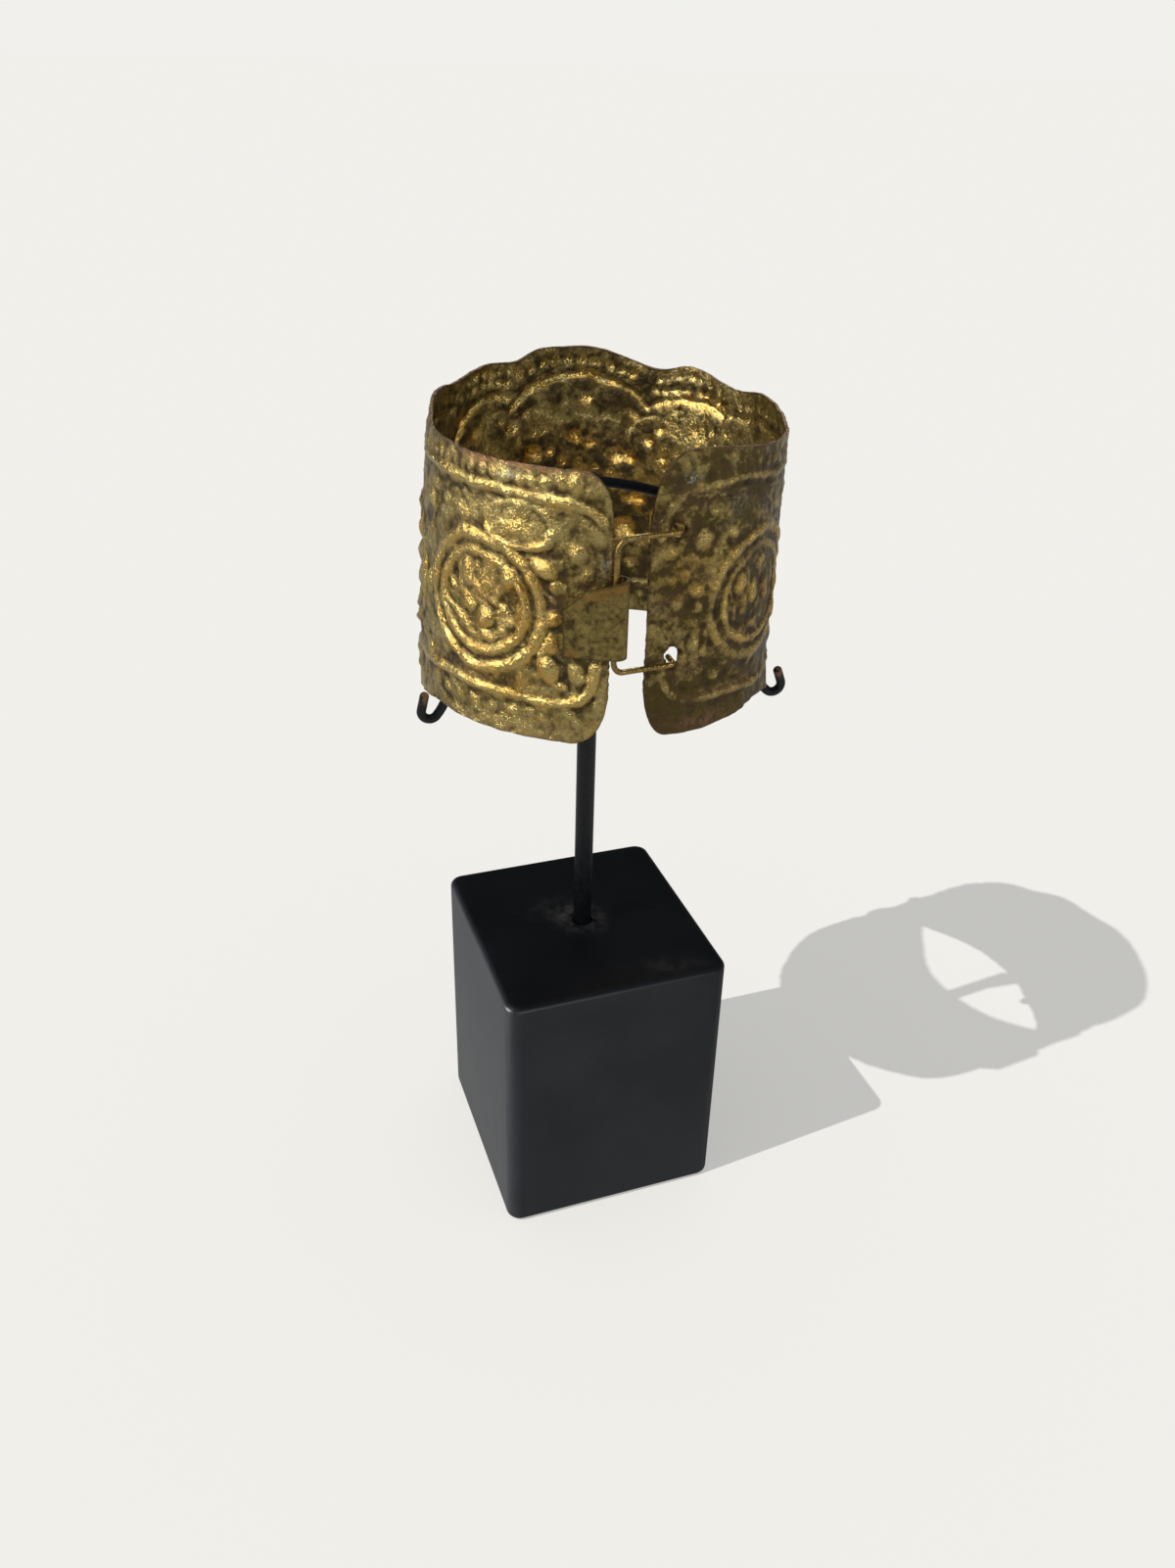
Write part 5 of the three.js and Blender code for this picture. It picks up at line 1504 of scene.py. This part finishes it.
class CUFF_OT_studio(bpy.types.Operator):
    """Sets out the pale floor, the lights and the camera"""

    bl_idname = "cuff.studio"
    bl_label = "Studio"

    def gathered(self, *slots):
        """A collection of the pieces in some of the record's slots, for a light to fall on."""
        chosen = bpy.data.collections.new("lit_" + slots[0])
        for piece in bpy.data.objects:
            if piece.name in PIECES and PIECES[piece.name] in slots:
                chosen.objects.link(piece)
        return chosen

    def floor(self, colour):
        """Floor that shows the key's shadow but hardly darkens round the block's foot."""
        deselect()
        bpy.ops.mesh.primitive_circle_add(vertices=96, radius=30, fill_type="NGON")
        floor = active_piece("studio_floor")
        material = bpy.data.materials.new("pale_floor")
        material.use_nodes = True
        nodes, links = material.node_tree.nodes, material.node_tree.links
        nodes.remove(nodes["Principled BSDF"])
        lit = nodes.new("ShaderNodeBsdfDiffuse")
        lit.inputs["Color"].default_value = (*(FLOOR_LIT * c for c in colour), 1)
        glow = nodes.new("ShaderNodeEmission")
        glow.inputs["Color"].default_value = (*colour, 1)
        path = nodes.new("ShaderNodeLightPath")
        dim = nodes.new("ShaderNodeMapRange")
        dim.inputs["To Min"].default_value = FLOOR_GLOW
        dim.inputs["To Max"].default_value = FLOOR_REFLECTED
        both = nodes.new("ShaderNodeAddShader")
        links.new(path.outputs["Is Glossy Ray"], dim.inputs["Value"])
        links.new(dim.outputs["Result"], glow.inputs["Strength"])
        links.new(lit.outputs[0], both.inputs[0])
        links.new(glow.outputs[0], both.inputs[1])
        links.new(both.outputs[0], nodes["Material Output"].inputs["Surface"])
        floor.data.materials.append(material)
        return floor

    def sun(self, name, energy, softness, receivers):
        data = bpy.data.lights.new(name, "SUN")
        data.energy = energy
        data.angle = math.radians(softness)
        data.color = SUN_COLOUR
        light = bpy.data.objects.new(name, data)
        light.rotation_euler = Vector(KEY_WAY).to_track_quat("-Z", "Y").to_euler()
        bpy.context.scene.collection.objects.link(light)
        light.light_linking.receiver_collection = receivers

    def softbox(self, name, place, target, size, power, receivers):
        data = bpy.data.lights.new(name, "AREA")
        data.shape = "RECTANGLE"
        data.size, data.size_y = size
        data.energy = power
        data.color = SOFTBOX_COLOUR
        light = bpy.data.objects.new(name, data)
        light.location = place
        way = Vector(target) - Vector(place)
        light.rotation_euler = way.to_track_quat("-Z", "Y").to_euler()
        bpy.context.scene.collection.objects.link(light)
        light.light_linking.receiver_collection = receivers

    def world(self):
        world = bpy.data.worlds.new("studio_world")
        world.use_nodes = True
        bpy.context.scene.world = world
        nodes, links = world.node_tree.nodes, world.node_tree.links
        plain = nodes["Background"]
        dim = nodes.new("ShaderNodeBackground")
        for node, (colour, strength) in ((plain, WORLD_LIGHT), (dim, WORLD_REFLECTED)):
            node.inputs["Color"].default_value = colour
            node.inputs["Strength"].default_value = strength
        seen = nodes.new("ShaderNodeBackground")
        seen.inputs["Color"].default_value = WORLD_SEEN
        path = nodes.new("ShaderNodeLightPath")
        first = nodes.new("ShaderNodeMixShader")
        second = nodes.new("ShaderNodeMixShader")
        links.new(path.outputs["Is Glossy Ray"], first.inputs["Fac"])
        links.new(plain.outputs[0], first.inputs[1])
        links.new(dim.outputs[0], first.inputs[2])
        links.new(path.outputs["Is Camera Ray"], second.inputs["Fac"])
        links.new(first.outputs[0], second.inputs[1])
        links.new(seen.outputs[0], second.inputs[2])
        links.new(second.outputs[0], nodes["World Output"].inputs["Surface"])

    def camera(self):
        data = bpy.data.cameras.new("photo_camera")
        data.lens = CAMERA["lens"]
        data.sensor_width = 36.0
        data.sensor_fit = "AUTO"
        data.clip_start = 0.01
        data.clip_end = 100.0
        camera = bpy.data.objects.new("photo_camera", data)
        look = Vector(CAMERA["look"]).normalized()
        right = look.cross(Vector((0, 0, 1))).normalized()
        up = right.cross(look)
        roll = math.radians(CAMERA["roll"])
        tilted = right * math.cos(roll) + up * math.sin(roll)
        above = up * math.cos(roll) - right * math.sin(roll)
        turn = Matrix((tilted, above, -look)).transposed().to_4x4()
        camera.matrix_world = Matrix.Translation(Vector(CAMERA["place"]) * MM) @ turn
        bpy.context.scene.collection.objects.link(camera)
        bpy.context.scene.camera = camera

    def execute(self, context):
        floor = self.floor(context.scene.cuff_colours.floor)
        ground = bpy.data.collections.new("lit_floor")
        ground.objects.link(floor)
        groups = {
            "floor": ground, "metal": self.gathered("cuff", "plate", "bail"),
            "stand": self.gathered("holder", "block"), "block": self.gathered("block"),
        }
        for name, energy, softness, lit in SUNS:
            self.sun(name, energy, softness, groups[lit])
        for name, place, target, size, power, lit in SOFTBOXES:
            self.softbox(name, place, target, size, power, groups[lit])
        self.world()
        self.camera()
        context.scene.view_settings.view_transform = "Standard"
        context.scene.view_settings.look = "None"
        return {"FINISHED"}


class CUFF_PT_panel(bpy.types.Panel):
    """Lists the pieces, their sizes and colours"""

    bl_idname = "CUFF_PT_panel"
    bl_label = "Cuff bracelet"
    bl_space_type = "VIEW_3D"
    bl_region_type = "UI"
    bl_category = "Cuff"

    def draw(self, context):
        for operator in STEPS:
            self.layout.operator(operator.bl_idname)
        for group in (context.scene.cuff_sizes, context.scene.cuff_colours):
            for name in group.bl_rna.properties.keys():
                if name not in ("rna_type", "name"):
                    self.layout.prop(group, name)


PIECES = {
    "chased_cuff": "cuff", "folded_plate": "plate", "bent_wire_bail": "bail",
    "painted_holder": "holder", "painted_block": "block",
}
STEPS = (
    CUFF_OT_block, CUFF_OT_holder, CUFF_OT_chased_sheet, CUFF_OT_folded_plate,
    CUFF_OT_wire_bail, CUFF_OT_studio,
)
CLASSES = (CuffSizes, CuffColours, *STEPS, CUFF_PT_panel)


def register():
    for one in CLASSES:
        bpy.utils.register_class(one)
    bpy.types.Scene.cuff_sizes = bpy.props.PointerProperty(type=CuffSizes)
    bpy.types.Scene.cuff_colours = bpy.props.PointerProperty(type=CuffColours)


def unregister():
    del bpy.types.Scene.cuff_colours
    del bpy.types.Scene.cuff_sizes
    for one in reversed(CLASSES):
        bpy.utils.unregister_class(one)


def main():
    register()
    bpy.ops.cuff.block()
    bpy.ops.cuff.holder()
    bpy.ops.cuff.chased_sheet()
    bpy.ops.cuff.folded_plate()
    bpy.ops.cuff.wire_bail()
    bpy.ops.cuff.studio()


if __name__ == "__main__":
    main()
